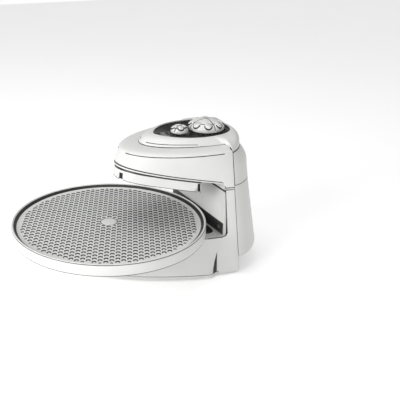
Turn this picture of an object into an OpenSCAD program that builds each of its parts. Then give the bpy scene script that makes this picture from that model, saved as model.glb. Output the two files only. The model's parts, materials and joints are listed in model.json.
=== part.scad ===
// Rotating countertop pizza oven: a turntable pan on a motor-driven hub, a heater
// under the pan, and a second heater in a head that reaches over the pan from a
// tower at the back. The person using it stands at -Y and the tower is at +Y.

/* [Pan] */
// Outer diameter of the pan
pan_d = 320; // [306:1:330]
// Height of the skirt that hangs from the pan's rim
pan_skirt = 19.5; // [15:0.5:21]
// Depth of the baking floor below the rim
pan_well = 6.2; // [5:0.2:8]
// Thickness of the pan's sheet
pan_sheet = 1.5; // [1:0.1:2]
// Width of the rim, which slopes down from its bead to the edge of the well
pan_rim = 5; // [4:0.5:7]
// Width of the sloping band between that edge and the baking floor
pan_band = 4.6; // [3:0.2:6]
// Diameter of the hole that drops over the hub
pan_hole_d = 27; // [22:0.5:30]

/* [Base] */
// Height of the deck that the pan turns above
deck_z = 69; // [64:1:74]
// Gap between the deck and the pan's skirt
pan_gap = 5.5; // [4:0.5:8]
// Reach of the base in front of the hub
base_nose = 29; // [28:1:36]
// How far the foot of the base flares out beside the tower
base_flare = 12; // [6:1:15]
// Height at which the flare runs out
flare_h = 45; // [35:1:52]
// Height of the rim of the bottom plate
plate_rim = 5.5; // [4:0.5:9]

/* [Tower] */
// Gap between the pan and the throat wall behind it
throat_gap = 6; // [4:0.5:10]
// Width across the tower at the seam between lower and upper housing
tower_w = 186; // [180:1:196]
// Height of the seam between lower and upper housing
seam_z = 150.5; // [147:0.5:154]
// Step up of that seam across the rear covers
seam_step = 6; // [0:0.5:9]
// Depth of the tower behind the throat wall, at the seam
tower_depth = 78; // [72:1:84]
// Side draft of the tower
side_draft = 0.06; // [0.02:0.01:0.1]
// Rear draft of the tower
rear_draft = 0.2; // [0.12:0.01:0.22]
// Height of the rear cover's lower edge
rear_lift = 30; // [24:1:36]

/* [Head] */
// Distance from the hub axis to the tip of the head
head_nose = 12.5; // [10:0.5:18]
// Height of the head's lower edge at its tip
head_lip_z = 186; // [182:1:190]
// Rise of the head's lower edge towards the tip, per mm
head_tilt = 0.17; // [0.14:0.01:0.18]
// Height of the crease round the head, at its tip
crease_z = 209; // [206:1:211]
// Height of the seam under the control bezel, at its tip
bezel_z = 216; // [213:1:218]
// Rise of that seam from its tip to the tower
bezel_rise = 4; // [0:0.5:6]
// Height of the rear covers' upper edge
rear_top_z = 212; // [209:0.5:215]
// Height of the control panel's face
panel_z = 230; // [228:0.5:233]
// Gap between the control panel and the rear edge of the bezel
panel_gap = 9.5; // [8:0.5:14]
// Width of the control panel
panel_w = 102; // [96:1:106]

/* [Shells] */
// Wall thickness of the moulded shells
wall = 2.4; // [1.8:0.1:3]
// Thickness of the flat plates
plate_t = 3; // [2:0.1:4]
// Thickness of the reflectors' sheet
sheet_t = 1; // [0.8:0.1:1.6]
// Depth of the upper reflector's skirt below the head's lower edge
guard_drop = 20; // [14:0.5:22]

/* [Heaters] */
// Diameter of the heater rods
rod_d = 6.5; // [5:0.5:8]
// Gap between the throat wall and the far end of the lower heater loop
loop_gap = 26; // [24:1:36]
// Width of the heater loops at their wide end
loop_w = 108; // [90:1:116]

/* [Controls] */
// Diameter of the timer knob
timer_d = 60; // [54:1:64]
// Height of the timer knob
timer_h = 17.5; // [12:0.5:20]
// Diameter of the heat selector knob
selector_d = 29; // [26:1:35]
// Height of the heat selector knob
selector_h = 11; // [9:0.5:15]
// Diameter of the control shafts
shaft_d = 6; // [5:0.5:7]

/* [Drive] */
// Diameter of the gear motor's can
motor_d = 46; // [40:1:48]
// Height of the gear motor's can
motor_h = 21; // [18:0.5:26]
// Diameter of the hub's flange under the pan
hub_d = 70; // [56:1:80]
// Diameter of the motor's output shaft
drive_shaft_d = 8; // [6:0.5:10]

/* [Feet] */
// Height of the rubber feet below the bottom plate
foot_h = 3; // [2:0.5:5]
// Diameter of the rubber feet
foot_d = 14; // [10:0.5:16]

/* [Cable] */
// Diameter of the bore for the mains lead
cable_bore = 8; // [6:0.5:9]

/* [Hidden] */
$fn = 64;
fit_gap = 0.3;        // gap between a piece and its seat
corner_gap = 0.6;     // gap at the corner line between the housings and what closes them behind
run_gap = 0.05;       // radial gap between a shaft and its bore
tube_sides = 10;
pan_r = pan_d / 2;
throat_y = pan_r + throat_gap;
corner_y = throat_y + 14.5;
rear_y = throat_y + tower_depth;
rear_edge_z = rear_lift + 4;   // height at which the rear cover reaches furthest back
rear_reach = rear_y + (seam_z - rear_edge_z) * rear_draft;
hub_y = -(rear_reach - pan_r) / 2;
skirt_z = deck_z + pan_gap;
rim_z = skirt_z + pan_skirt;
floor_z = rim_z - pan_well;
mouth_corner = 8;     // corner radius of the mouth between base and head
mouth_y = throat_y - 1;
plate_z = foot_h - 0.5;
plate_top = plate_z + plate_t;

white = [0.93, 0.93, 0.91];
black = [0.06, 0.06, 0.06];
steel = [0.72, 0.72, 0.72];

// ---------- curves ----------
function mix(a, b, t) = a + (b - a) * t;
function cubic(p, t) =
  pow(1 - t, 3) * p[0] + 3 * pow(1 - t, 2) * t * p[1] + 3 * (1 - t) * t * t * p[2] + pow(t, 3) * p[3];
function quad(a, b, c, t) = mix(mix(a, b, t), mix(b, c, t), t);
function unit(v) = v / max(norm(v), 0.000001);
function clamp(x, lo, hi) = max(lo, min(hi, x));
// Parameter at which a front curve reaches distance y from the hub.
function param_at(p, y, lo = 0, hi = 1, n = 24) =
  let (mid = (lo + hi) / 2)
  n == 0 ? mid : cubic(p, mid)[1] < y ? param_at(p, y, mid, hi, n - 1) : param_at(p, y, lo, mid, n - 1);

// ---------- thick sheets ----------
function grid_normal(g, i, j, loop) =
  let (
    m = len(g), n = len(g[0]),
    before = loop ? g[(i + m - 1) % m][j] : g[max(i - 1, 0)][j],
    after = loop ? g[(i + 1) % m][j] : g[min(i + 1, m - 1)][j]
  )
  unit(cross(after - before, g[i][min(j + 1, n - 1)] - g[i][max(j - 1, 0)]));
function volume(pts, faces) =
  let (v = [for (f = faces) pts[f[0]] * cross(pts[f[1]], pts[f[2]])]) v * [for (f = faces) 1];

// A closed solid from triangles, whichever way round they were listed.
module solid(pts, faces) {
  turned = volume(pts, faces) > 0 ? [for (f = faces) [f[2], f[1], f[0]]] : faces;
  polyhedron(pts, turned, convexity = 10);
}

// A grid of surface points given a wall on its inner side. side is 1 or -1. A level wall is
// measured level, so that its edges stay at their heights.
module skin(g, thick, side = 1, loop = false, level = false) {
  m = len(g);
  n = len(g[0]);
  inner = [
    for (i = [0:m - 1]) [
      for (j = [0:n - 1])
        let (v = grid_normal(g, i, j, loop)) g[i][j] + side * thick * (level ? unit([v[0], v[1], 0]) : v)
    ]
  ];
  pts = [for (i = [0:m - 1]) each concat(g[i], [for (j = [n - 1:-1:0]) inner[i][j]])];
  k = 2 * n;
  last = loop ? m - 1 : m - 2;
  sides = [
    for (i = [0:last], j = [0:k - 1])
      let (
        next = ((i + 1) % m) * k,
        a = i * k + j, b = i * k + (j + 1) % k, c = next + (j + 1) % k, d = next + j
      )
      each [[a, b, c], [a, c, d]]
  ];
  function cap(base, flip) = [
    for (j = [0:n - 2])
      let (a = base + j, b = base + j + 1, c = base + k - 2 - j, d = base + k - 1 - j)
      each flip ? [[c, b, a], [d, c, a]] : [[a, b, c], [a, c, d]]
  ];
  caps = loop ? [] : concat(cap(0, true), cap((m - 1) * k, false));
  solid(pts, concat(sides, caps));
}

// A closed solid through a stack of rings of equal count, capped by fans.
module stack(rings) {
  k = len(rings[0]);
  m = len(rings);
  function centre(r) = ([for (p = r) 1] * r) / k;
  pts = concat([for (r = rings) each r], [centre(rings[0]), centre(rings[m - 1])]);
  sides = [
    for (i = [0:m - 2], j = [0:k - 1])
      let (a = i * k + j, b = i * k + (j + 1) % k, c = (i + 1) * k + (j + 1) % k, d = (i + 1) * k + j)
      each [[a, b, c], [a, c, d]]
  ];
  low = [for (j = [0:k - 1]) [m * k, (j + 1) % k, j]];
  high = [for (j = [0:k - 1]) [m * k + 1, (m - 1) * k + j, (m - 1) * k + (j + 1) % k]];
  solid(pts, concat(sides, low, high));
}

// ---------- plan outlines ----------
function corner(z) = [tower_w / 2 + (seam_z - z) * side_draft, corner_y + (seam_z - z) * side_draft * 1.55];
// Half outline from the tip on the centreline to the tower's corner line.
function front_curve(tip, end, round, tail, turn) =
  [[0, tip], [round, tip], [end[0] - tail * sin(turn), end[1] - tail * cos(turn)], end];
function base_curve(z) = front_curve(-base_nose + 0.03 * (z - deck_z), corner(z), 32, 110, 4);
// Half outline from the corner line round the back to the centreline.
function rear_curve(z, inset = 0) =
  let (c = corner(z), back = rear_y + (seam_z - z) * rear_draft * (z < seam_z ? 1 : 2 / 3) - inset)
  [c + [0, corner_gap], [c[0] - 3, c[1] + (back - c[1]) * 0.42], [0.6 * c[0], back], [0, back]];
function both(half) = concat([for (i = [len(half) - 1:-1:1]) [-half[i][0], half[i][1]]], half);

// ---------- stations along a front outline ----------
// Curve parameters from the tip to the corner line, close together at the mouth's edge.
function stations(p, extra = []) = let (m = param_at(p, mouth_y - mouth_corner - 1), e = param_at(p, mouth_y))
  concat([for (i = [0:15]) m * i / 16], extra, [for (i = [0:5]) mix(m, e, i / 5)], [mix(e, 1, 0.5), 1]);
// Signed pairs [side, parameter] from the left corner line round the tip to the right one.
function signed(half) = concat([for (i = [len(half) - 1:-1:1]) [-1, half[i]]], [for (u = half) [1, u]]);
function place(side, p, z) = [side * p[0], p[1], z];
// Share of the way up the mouth's rounded corner at distance y from the hub.
function mouth_rise(y, r = mouth_corner) =
  let (t = clamp((y - mouth_y + r) / r, 0, 1)) 1 - sqrt(1 - t * t);
function lip_z(y) = head_lip_z - head_tilt * (y - head_nose);

// ---------- lower housing ----------
flare_nose = 0.4;     // share of the flare at the nose
flare_end = mouth_y - 24;
flare_run = 12;       // length over which the flare runs out into the tower's side
function flare(y, z) =
  base_flare * pow(1 - min(z, flare_h) / flare_h, 1.6)
  * mix(flare_nose, 1, clamp((y + base_nose) / (flare_end + base_nose), 0, 1))
  * clamp((flare_end + flare_run - y) / flare_run, 0, 1);
function curve_normal(p, u) =
  let (d = unit(cubic(p, min(u + 0.01, 1)) - cubic(p, max(u - 0.01, 0)))) u == 0 ? [0, -1] : [d[1], -d[0]];
// Near the tower the parameter follows the distance y, because the mouth's edge is nearly
// upright: it leans back towards its foot.
mouth_lean = 0.07;
function mouth_shift(y, z) =
  (seam_z - max(z, deck_z + mouth_corner)) * mouth_lean * clamp((y - 130) / (mouth_y - 130), 0, 1);
function base_u(u, z) =
  let (
    y = cubic(base_curve(deck_z), u)[1],
    end = corner(deck_z)[1],
    edge = mouth_y + mouth_shift(mouth_y, z),
    target = y <= mouth_y ? y + mouth_shift(y, z) : mix(edge, corner(z)[1], (y - mouth_y) / (end - mouth_y))
  )
  y < 100 || u == 1 ? u : mix(u, param_at(base_curve(z), target), clamp((y - 100) / 30, 0, 1));
function base_point(u, z) =
  let (p = base_curve(z), v = base_u(u, z), q = cubic(p, v)) q + curve_normal(p, v) * flare(q[1], z);
function inset_point(p, u, d) = cubic(p, u) - curve_normal(p, u) * d;
function base_low(y) = y > flare_end + flare_run ? plate_z : plate_z + plate_rim + fit_gap;
function base_high(y) =
  y < mouth_y - mouth_corner ? deck_z
  : y >= mouth_y - 0.01 ? seam_z - fit_gap
  : deck_z + mouth_corner * mouth_rise(y);
// Heights at a station: the first ones lie below the deck, the last three reach up to the edge.
function base_heights(y) =
  let (low = base_low(y), mid = deck_z - 3, high = base_high(y))
  concat(
    [for (f = [0, 0.18, 0.38, 0.64, 1]) mix(low, mid, f)],
    [for (f = [0.34, 0.67, 1]) mix(mid, high, f)]
  );
// The foot reaches down behind the rim of the bottom plate, from this distance on.
band_end = flare_end + flare_run;
band_end_low = band_end + mouth_shift(band_end, plate_z);
module lower_housing() {
  step = [for (d = [-0.3, 0.3]) param_at(base_curve(deck_z), band_end + d)];
  color(white)
  skin([
    for (s = signed(stations(base_curve(deck_z), step)))
      let (y = cubic(base_curve(deck_z), s[1])[1])
      [for (z = base_heights(y)) place(s[0], base_point(s[1], z), z)]
  ], wall, -1, level = true);
}

// ---------- upper housing ----------
lip_corner = 5;       // corner radius of the head's lower edge at the tower
lip_curve = front_curve(head_nose, corner(seam_z), 61, 32, 15);
rear_corner = corner(rear_top_z);
crease_tip = head_nose + 9.5;
crease_curve = front_curve(crease_tip, rear_corner, 51, 76, 0);
function crease_at(y) = mix(crease_z, rear_top_z, (y - crease_tip) / (rear_corner[1] - crease_tip));
bezel_end = [rear_corner[0] - 19, rear_corner[1] - 0.8];
bezel_tip = head_nose + 43.5;
bezel_curve = front_curve(bezel_tip, bezel_end, 30, 70, 6.6);
function bezel_at(y) = bezel_z + bezel_rise * (y - bezel_tip) / (bezel_end[1] - bezel_tip);
function head_low(y) =
  y >= mouth_y - 0.01 ? seam_z : mix(lip_z(y), seam_z, mouth_rise(y, lip_corner));
// A point on the rounded shoulder between the crease (t = 0) and the bezel's seam (t = 1).
function shoulder(u, t) =
  let (
    c = cubic(crease_curve, u),
    crease = place(1, c, crease_at(c[1])),
    b = cubic(bezel_curve, u),
    top = place(1, b, bezel_at(b[1])),
    over = mix(crease, top, 0.1)
  )
  quad(crease, [over[0], over[1], mix(crease[2], top[2], 0.85) + 0.6], top, t);
function head_profile(side, u) =
  let (q = cubic(lip_curve, u), low = place(1, q, head_low(q[1])), crease = shoulder(u, 0))
  [
    for (p = concat(
      [for (f = [0, 0.4, 0.8]) mix(low, crease, f)], [for (t = [0, 0.22, 0.45, 0.7, 1]) shoulder(u, t)]
    )) [side * p[0], p[1], p[2]]
  ];
module upper_housing() {
  color(white)
  skin([for (s = signed(stations(lip_curve))) head_profile(s[0], s[1])], wall, -1);
}

// ---------- rear covers ----------
rear_steps = 12;
shoulder_in = 21;     // how far the rear shoulder comes in under the bezel
shoulder_h = 25;      // height of that shoulder
rear_seam_z = seam_z + seam_step;
// Outline of the rear cover's upper edge and of the bezel that stands on it.
rear_top = [
  rear_corner + [0, corner_gap],
  rear_corner + [-14.4, 25.8],
  [0.49 * rear_corner[0], rear_y - shoulder_in],
  [0, rear_y - shoulder_in]
];
rear_half = concat([0, 0.03], [for (i = [1:rear_steps]) i / rear_steps]);
rear_stations = concat(
  [for (u = rear_half) [1, u]],
  [for (i = [rear_steps:-1:0]) [-1, rear_half[i]]]
);
function ease(t) = t * t * (3 - 2 * t);
module rear_cover_lower() {
  color(white)
  difference() {
    rear_cover_lower_shell();
    on_rear(rear_screw_z[0]) translate([0, 0, -12]) cylinder(d = screw_d + 0.4, h = 24);
    on_rear(gland_z) translate([0, 0, -12]) cylinder(d = gland_d + 2 * fit_gap, h = 24);
  }
}
module rear_cover_lower_shell() {
  skin([
    for (s = rear_stations)
      concat(
        [for (inset = [28, 4]) place(s[0], cubic(rear_curve(rear_lift, inset), s[1]), rear_lift)],
        [for (f = [0, 0.3, 0.6, 1])
          let (z = mix(rear_edge_z, rear_seam_z - fit_gap, f)) place(s[0], cubic(rear_curve(z), s[1]), z)]
      )
  ], wall, -1);
}
module rear_cover_upper() {
  color(white)
  difference() {
    rear_cover_upper_shell();
    on_rear(rear_screw_z[1]) translate([0, 0, -12]) cylinder(d = screw_d + 0.4, h = 24);
  }
}
module rear_cover_upper_shell() {
  turn_z = rear_top_z - shoulder_h;
  skin([
    for (s = rear_stations)
      let (
        a = place(s[0], cubic(rear_curve(turn_z), s[1]), turn_z),
        knee_z = turn_z + shoulder_h * 0.45,
        b = place(s[0], cubic(rear_curve(knee_z, 1), s[1]), knee_z),
        c = place(s[0], cubic(rear_top, s[1]), rear_top_z - fit_gap)
      )
      concat(
        [for (f = [0, 0.5]) let (z = mix(rear_seam_z, turn_z, f)) place(s[0], cubic(rear_curve(z), s[1]), z)],
        [for (t = [0, 0.25, 0.5, 0.75, 1]) quad(a, b, c, t)]
      )
  ], wall, -1);
}

// ---------- top bezel and control panel ----------
panel_tip = bezel_tip + 24.5;
panel_end = rear_y - shoulder_in - panel_gap;
panel_l = panel_end - panel_tip;
panel_wide = panel_tip + panel_l * 0.56;
function tear(t, grow = 0) =
  let (w = panel_w / 2 + grow, tip = panel_tip - grow, end = panel_end + grow, wide = [w, panel_wide])
  t < 1
    ? cubic([[0, tip], [6 + grow, tip], wide - [0, panel_l * 0.39], wide], t)
    : cubic([wide, wide + [0, panel_l * 0.28], [0.66 * w, end], [0, end]], t - 1);
bezel_t = 2.2;
panel_drop = 4.5;     // how far the panel's face lies below the bezel's edge
bezel_front = [for (i = [0:18]) i / 18];
// The bezel's section is a cubic from its outer edge to the panel. A form gives the share of the
// way in and the share of the way up of each of its two handles.
slope_form = [0.16, 0.48, 0.5, 0.97];   // a round slope, in front and on the sides
notch_form = [0.4, 0.02, 0.6, 0.95];    // flat at its foot, where the edge turns outwards
corner_form = [0.02, 0.5, 0.5, 0.95];   // a low wall, a ledge and a slope, at the hood's rear corner
wall_form = [0.02, 0.75, 0.12, 1.05];   // a wall with a rounded top, at the back
function bezel_profile(side, outer, inner, form) =
  let (
    rise = inner[2] - outer[2],
    b = mix(outer, inner, form[0]),
    c = mix(outer, inner, form[2]),
    pts = [outer, [b[0], b[1], outer[2] + form[1] * rise], [c[0], c[1], outer[2] + form[3] * rise], inner]
  )
  [for (t = [0, 0.15, 0.3, 0.45, 0.6, 0.8, 1]) let (p = cubic(pts, t)) [side * p[0], p[1], p[2]]];
function bezel_edge(t) = let (q = tear(t, fit_gap)) [q[0], q[1], panel_z];
drop_from = 1.04;     // stretch of the panel's edge that faces the drop beside the hood's rear end
drop_to = 1.2;
function bezel_rings(side) = concat(
  [for (t = bezel_front)
    let (q = cubic(bezel_curve, t), outer = [q[0], q[1], bezel_at(q[1]) + fit_gap])
    bezel_profile(
      side, outer, bezel_edge(t * drop_from), mix(slope_form, notch_form, ease(clamp(2.5 * t - 1.5, 0, 1))))],
  [for (k = [0.2, 0.4, 0.6, 0.8, 1])
    let (outer = shoulder(1, 1 - k) + [0, corner_gap * k, fit_gap])
    bezel_profile(side, outer, bezel_edge(mix(drop_from, drop_to, k)), mix(notch_form, corner_form, k * k))],
  [for (i = [1:12])
    let (t = i / 12, q = cubic(rear_top, t))
    bezel_profile(
      side, [q[0], q[1], rear_top_z], bezel_edge(mix(drop_to, 2, t)),
      mix(corner_form, wall_form, ease(min(1, 2.5 * t))))]
);
module top_bezel() {
  right = bezel_rings(1);
  left = bezel_rings(-1);
  n = len(right);
  color(white)
  skin(concat(right, [for (i = [n - 2:-1:1]) left[i]]), bezel_t, -1, true);
}
timer_y = panel_end - 6 - timer_d / 2;
selector_y = timer_y - timer_d / 2 - selector_d / 2 - 6;
bush_d = 10;          // threaded bush of a control
panel_top = panel_z - panel_drop;
panel_low = panel_top - plate_t - 2;
panel_lip = 2;        // reach of the panel's edge under the bezel
function tear_outline(grow) = let (half = [for (t = [0:0.05:2.001]) tear(min(t, 2), grow)], n = len(half))
  concat(half, [for (i = [n - 2:-1:1]) [-half[i][0], half[i][1]]]);

// The head's floor lies in a plane that rises towards the tip.
tilt = atan(head_tilt);
function along(y) = (y - head_nose) / cos(tilt);
floor_rise = 5.1;     // height of the head floor's underside over the lip
// The frame of the head floor's underside, moved square to it.
module on_floor(up = 0) {
  translate([0, head_nose, head_lip_z + floor_rise]) rotate([-tilt, 0, 0]) translate([0, 0, up]) children();
}
head_screws_at = [[0, selector_y - 31], [37, timer_y - 26.5], [-37, timer_y - 26.5]];
post_d = 8;
post_l = panel_low - head_lip_z + 40;   // reach of the panel's posts before they are trimmed
screw_d = 3;
module control_panel() {
  color(black)
  difference() {
    union() {
      difference() {
        translate([0, 0, panel_low])
          linear_extrude(panel_z - bezel_t - 1 - panel_low) polygon(tear_outline(panel_lip));
        translate([0, 0, panel_top]) linear_extrude(panel_drop) polygon(tear_outline(-fit_gap));
      }
      intersection() {
        for (p = head_screws_at)
          on_floor() translate([p[0], along(p[1]), plate_t + 0.1]) cylinder(d = post_d, h = post_l);
        translate([-tower_w / 2, 0, 0]) cube([tower_w, rear_y, panel_low + 1]);
      }
    }
    for (y = [timer_y, selector_y])
      translate([0, y, panel_low - 1]) cylinder(d = bush_d + 2 * fit_gap, h = 20);
    for (p = head_screws_at)
      on_floor() translate([p[0], along(p[1]), 0]) cylinder(d = screw_d + 0.2, h = 16);
  }
}

// ---------- deck, throat and floor of the head ----------
deck_end = throat_y + plate_t + 3;
function wall_x(z, y) = let (p = base_curve(z)) cubic(p, param_at(p, y))[0] - wall - fit_gap - 0.1;
function inset_half(p, d, end, n = 18) =
  let (ue = param_at(p, end)) concat([for (i = [0:n]) inset_point(p, ue * i / n, d)]);
post_at = [[38, 22], [-38, 22], [78, throat_y - 3], [-78, throat_y - 3]];
tray_front = 30;      // distance of the lower reflector from the hub axis
tray_end = mouth_y - 9;
tray_w0 = 34;         // half widths of the lower reflector at its front and rear
tray_w1 = 72;
tray_depth = 11;
tray_flange = 5;
// A convex outline with its corners rounded off by curves that start r away from each corner.
function round_off(c, r, n = 5) =
  let (k = len(c))
  [for (i = [0:k - 1])
    let (a = c[(i + k - 1) % k], b = c[(i + 1) % k], p = c[i])
    for (j = [0:n]) quad(p + unit(a - p) * r, p, p + unit(b - p) * r, j / n)];
function tray_outline(g) = round_off([
  [tray_w1 + g, tray_end + g], [-tray_w1 - g, tray_end + g],
  [-tray_w0 - g, tray_front - g], [tray_w0 + g, tray_front - g]
], 14 + g);
function at_z(ring, z) = [for (p = ring) [p[0], p[1], z]];
ear_at = [motor_d / 2 + 5.5, 8];   // place of the motor's ears, behind its axis where the base is wider
ear_r = 3.5;
module deck_plate() {
  half = inset_half(base_curve(deck_z), wall + fit_gap + 0.1, deck_end);
  color(white)
  difference() {
    union() {
      translate([0, 0, deck_z - plate_t]) linear_extrude(plate_t) polygon(both(half));
      for (p = post_at)
        translate([p[0], p[1], plate_top]) cylinder(d = post_d, h = deck_z - plate_top - plate_t + 1);
    }
    translate([0, 0, deck_z - plate_t - 1]) linear_extrude(plate_t + 2) polygon(tray_outline(0));
    translate([0, 0, deck_z - plate_t - 1]) cylinder(d = drive_shaft_d + 8, h = plate_t + 2);
    for (p = post_at) translate([p[0], p[1], 0]) cylinder(d = screw_d + 0.2, h = plate_z + plate_t + 14);
    for (s = [-1, 1]) translate([s * ear_at[0], ear_at[1], deck_z - plate_t - 1])
      cylinder(d = screw_d + 0.2, h = plate_t + 0.4);
  }
}
shield_h = 21;
shield_x = wall_x(deck_z + shield_h, throat_y) - 4;
shield_screw = [shield_x - 12, deck_z + 11];
liner_top = lip_z(throat_y + plate_t) + floor_rise - 0.2;
module throat_liner() {
  low = wall_x(deck_z, throat_y);
  mid = wall_x(seam_z, throat_y);
  high = cubic(lip_curve, param_at(lip_curve, throat_y))[0] - wall - 1.8;
  color(white)
  difference() {
    translate([0, throat_y + plate_t, 0]) rotate([90, 0, 0]) linear_extrude(plate_t) polygon([
      [-low, deck_z], [low, deck_z], [mid, seam_z - 1], [high, seam_z - 1], [high, liner_top],
      [-high, liner_top], [-high, seam_z - 1], [-mid, seam_z - 1]
    ]);
    for (s = [-1, 1]) translate([s * shield_screw[0], throat_y - 1, shield_screw[1]])
      rotate([-90, 0, 0]) cylinder(d = screw_d + 0.2, h = plate_t + 2);
    translate([-tower_w, throat_y - 1, seam_z - 4.5]) cube([2 * tower_w, 1 + plate_t * 0.6, 2]);
  }
}
module throat_shield() {
  color(black)
  difference() {
    translate([-shield_x, throat_y - sheet_t, deck_z + 1.5]) cube([2 * shield_x, sheet_t, shield_h - 1.5]);
    for (s = [-1, 1]) translate([s * shield_screw[0], throat_y - 3, shield_screw[1]])
      rotate([-90, 0, 0]) cylinder(d = screw_d + 0.2, h = 6);
  }
}
module screw(length, head_d = 6, head_h = 2) {
  cylinder(d = screw_d, h = length);
  translate([0, 0, -head_h]) cylinder(d = head_d, h = head_h);
}
module shield_screws() {
  color(steel)
  for (s = [-1, 1]) translate([s * shield_screw[0], throat_y - sheet_t, shield_screw[1]])
    rotate([-90, 0, 0]) screw(8, 6, 1.6);
}
// 0 at the head's tip, 1 where its sides run straight.
function nose_share(y) = clamp((y - head_nose) / 50, 0, 1);
cutout_at = [28, throat_y - 46];
module head_floor() {
  ue = param_at(lip_curve, deck_end);
  half = [
    for (i = [0:18])
      let (
        u = ue * i / 18,
        q = inset_point(lip_curve, u, mix(8, wall + 1.3, nose_share(cubic(lip_curve, u)[1])))
      )
      [q[0], along(q[1])]
  ];
  color(white)
  on_floor()
  difference() {
    linear_extrude(plate_t) polygon(both(half));
    for (p = head_screws_at) translate([p[0], along(p[1]), -1]) cylinder(d = screw_d + 0.4, h = plate_t + 2);
    for (s = [-1, 1])
      translate([s * leg_x, along(upper_end), -1]) cylinder(d = ceramic_d + 0.3, h = plate_t + 2);
  }
}

// ---------- reflectors ----------
upper_end = throat_y - loop_gap - 26;      // far end of the upper heater loop
guard_end = upper_end + 17.5;
guard_in = 5.5;       // gap between the hood's lip and the upper reflector, beside the heater
// Heights of the reflector's rings over the lip, and their gap to the lip's outline at the tip:
// it stands clear inside the hood, and leans out under the lip.
guard_rings = [[floor_rise - 0.1, 8], [-0.5, 3.2], [-5, 0.5], [-guard_drop, -1.5]];
leg_x = 12;           // half distance between the legs of a heater
ceramic_d = 11;       // diameter of the ceramic bushes
// Half outline of the upper reflector, d inside its outer face, with a gap at the tip.
function guard_point(u, d, tip_gap) =
  inset_point(lip_curve, u, mix(tip_gap, guard_in, nose_share(cubic(lip_curve, u)[1])) + d);
function guard_half(d, tip_gap) =
  let (
    ue = param_at(lip_curve, guard_end - 6),
    a = guard_point(ue, d, tip_gap),
    c = [a[0] + 0.6, guard_end - d],
    b = [a[0] - 7, guard_end - d]
  )
  concat(
    [for (i = [0:15]) guard_point(ue * i / 16, d, tip_gap)],
    [for (t = [0, 0.33, 0.67, 1]) quad(a, c, b, t)]
  );
function tilt_ring(half, rise) = [for (q = both(half)) [q[0], q[1], lip_z(q[1]) + rise]];
slot_w = 7;           // width of the slots beside the reflector's tip
slot_at = [16, 2];    // their place beside and behind the tip
rear_slot = [4.7, 8];   // width of the slots near its rear corners, and their distance from its end
module upper_reflector() {
  color(steel)
  difference() {
    stack(concat(
      [for (r = guard_rings) tilt_ring(guard_half(0, r[1]), r[0])],
      [for (i = [3:-1:1]) tilt_ring(guard_half(sheet_t, guard_rings[i][1]), guard_rings[i][0])],
      [tilt_ring(guard_half(sheet_t, guard_rings[0][1]), guard_rings[0][0] - sheet_t)]
    ));
    for (s = [-1, 1])
      translate([s * slot_at[0], head_nose + slot_at[1], head_lip_z - guard_drop - 6])
        rotate([0, 0, s * 38]) translate([-slot_w / 2, -10, 0]) cube([slot_w, 16, 17]);
    for (s = [-1, 1])
      translate([s * guard_point(param_at(lip_curve, guard_end - 12), 0, 0)[0], guard_end - rear_slot[1], 0])
        translate([-6, 0, lip_z(guard_end) - guard_drop - 4]) cube([12, rear_slot[0], guard_drop]);
    on_floor() {
      for (s = [-1, 1]) translate([s * leg_x, along(upper_end), -6]) cylinder(d = ceramic_d + 0.3, h = 12);
      translate([head_screws_at[0][0], along(head_screws_at[0][1]), -6]) cylinder(d = screw_d + 0.4, h = 12);
    }
  }
}
module lower_reflector() {
  color(steel)
  difference() {
    stack([
      at_z(tray_outline(-8), deck_z - tray_depth - sheet_t), at_z(tray_outline(-0.5), deck_z - 1),
      at_z(tray_outline(-0.5), deck_z), at_z(tray_outline(tray_flange), deck_z),
      at_z(tray_outline(tray_flange), deck_z + sheet_t), at_z(tray_outline(-0.5 - sheet_t), deck_z + sheet_t),
      at_z(tray_outline(-8 - sheet_t), deck_z - tray_depth)
    ]);
    for (s = [-1, 1])
      translate([s * leg_x, lower_end, deck_z - tray_depth - 8]) cylinder(d = ceramic_d + 0.3, h = 16);
  }
}

// ---------- heaters ----------
lower_rod_z = deck_z + 7;
lower_start = 28;
lower_end = throat_y - loop_gap;
upper_start = head_nose + guard_in + 16;
upper_drop = 9;       // how far the upper heater lies below the head's lip
upper_low = (upper_drop + floor_rise) * cos(tilt);
leg_l = 34;
tip_x = 14;           // half width of a loop at its tip
// A path through points in space whose inner corners are rounded off, each by its own radius.
function round_path(c, r, n = 5) = concat(
  [c[0]],
  [for (i = [1:len(c) - 2])
    let (p = c[i], a = p + unit(c[i - 1] - p) * r[i - 1], b = p + unit(c[i + 1] - p) * r[i - 1])
    for (j = [0:n]) quad(a, p, b, j / n)],
  [c[len(c) - 1]]
);
function any_side(t) = unit(cross(t, abs(t[0]) < 0.7 ? [1, 0, 0] : [0, 1, 0]));
module tube(path, d, sides = tube_sides) {
  n = len(path);
  tangents = [for (i = [0:n - 1]) unit(path[min(i + 1, n - 1)] - path[max(i - 1, 0)])];
  frames = [
    for (i = 0, s = any_side(tangents[0]); i < n;
      i = i + 1, s = i < n ? unit(s - (s * tangents[i]) * tangents[i]) : s) s
  ];
  stack([
    for (i = [0:n - 1])
      let (s = frames[i], u = cross(tangents[i], s))
      [for (k = [0:sides - 1]) path[i] + d / 2 * (cos(360 * k / sides) * s + sin(360 * k / sides) * u)]
  ]);
}
function loop_path(y0, y1, w, leg) = round_path(
  [
    [leg_x, y1, leg], [leg_x, y1, 0], [w, y1, 0], [tip_x, y0, 0],
    [-tip_x, y0, 0], [-w, y1, 0], [-leg_x, y1, 0], [-leg_x, y1, leg]
  ],
  [9, 16, 13, 13, 16, 9]
);
function lift(path, z) = [for (p = path) p + [0, 0, z]];
upper_w = loop_w / 2 - 4;
module upper_element() {
  color(steel)
  on_floor(-upper_low) tube(loop_path(along(upper_start), along(upper_end), upper_w, leg_l), rod_d);
}
module lower_element() {
  color(steel) tube(lift(loop_path(lower_start, lower_end, loop_w / 2, -leg_l), lower_rod_z), rod_d);
}
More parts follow.
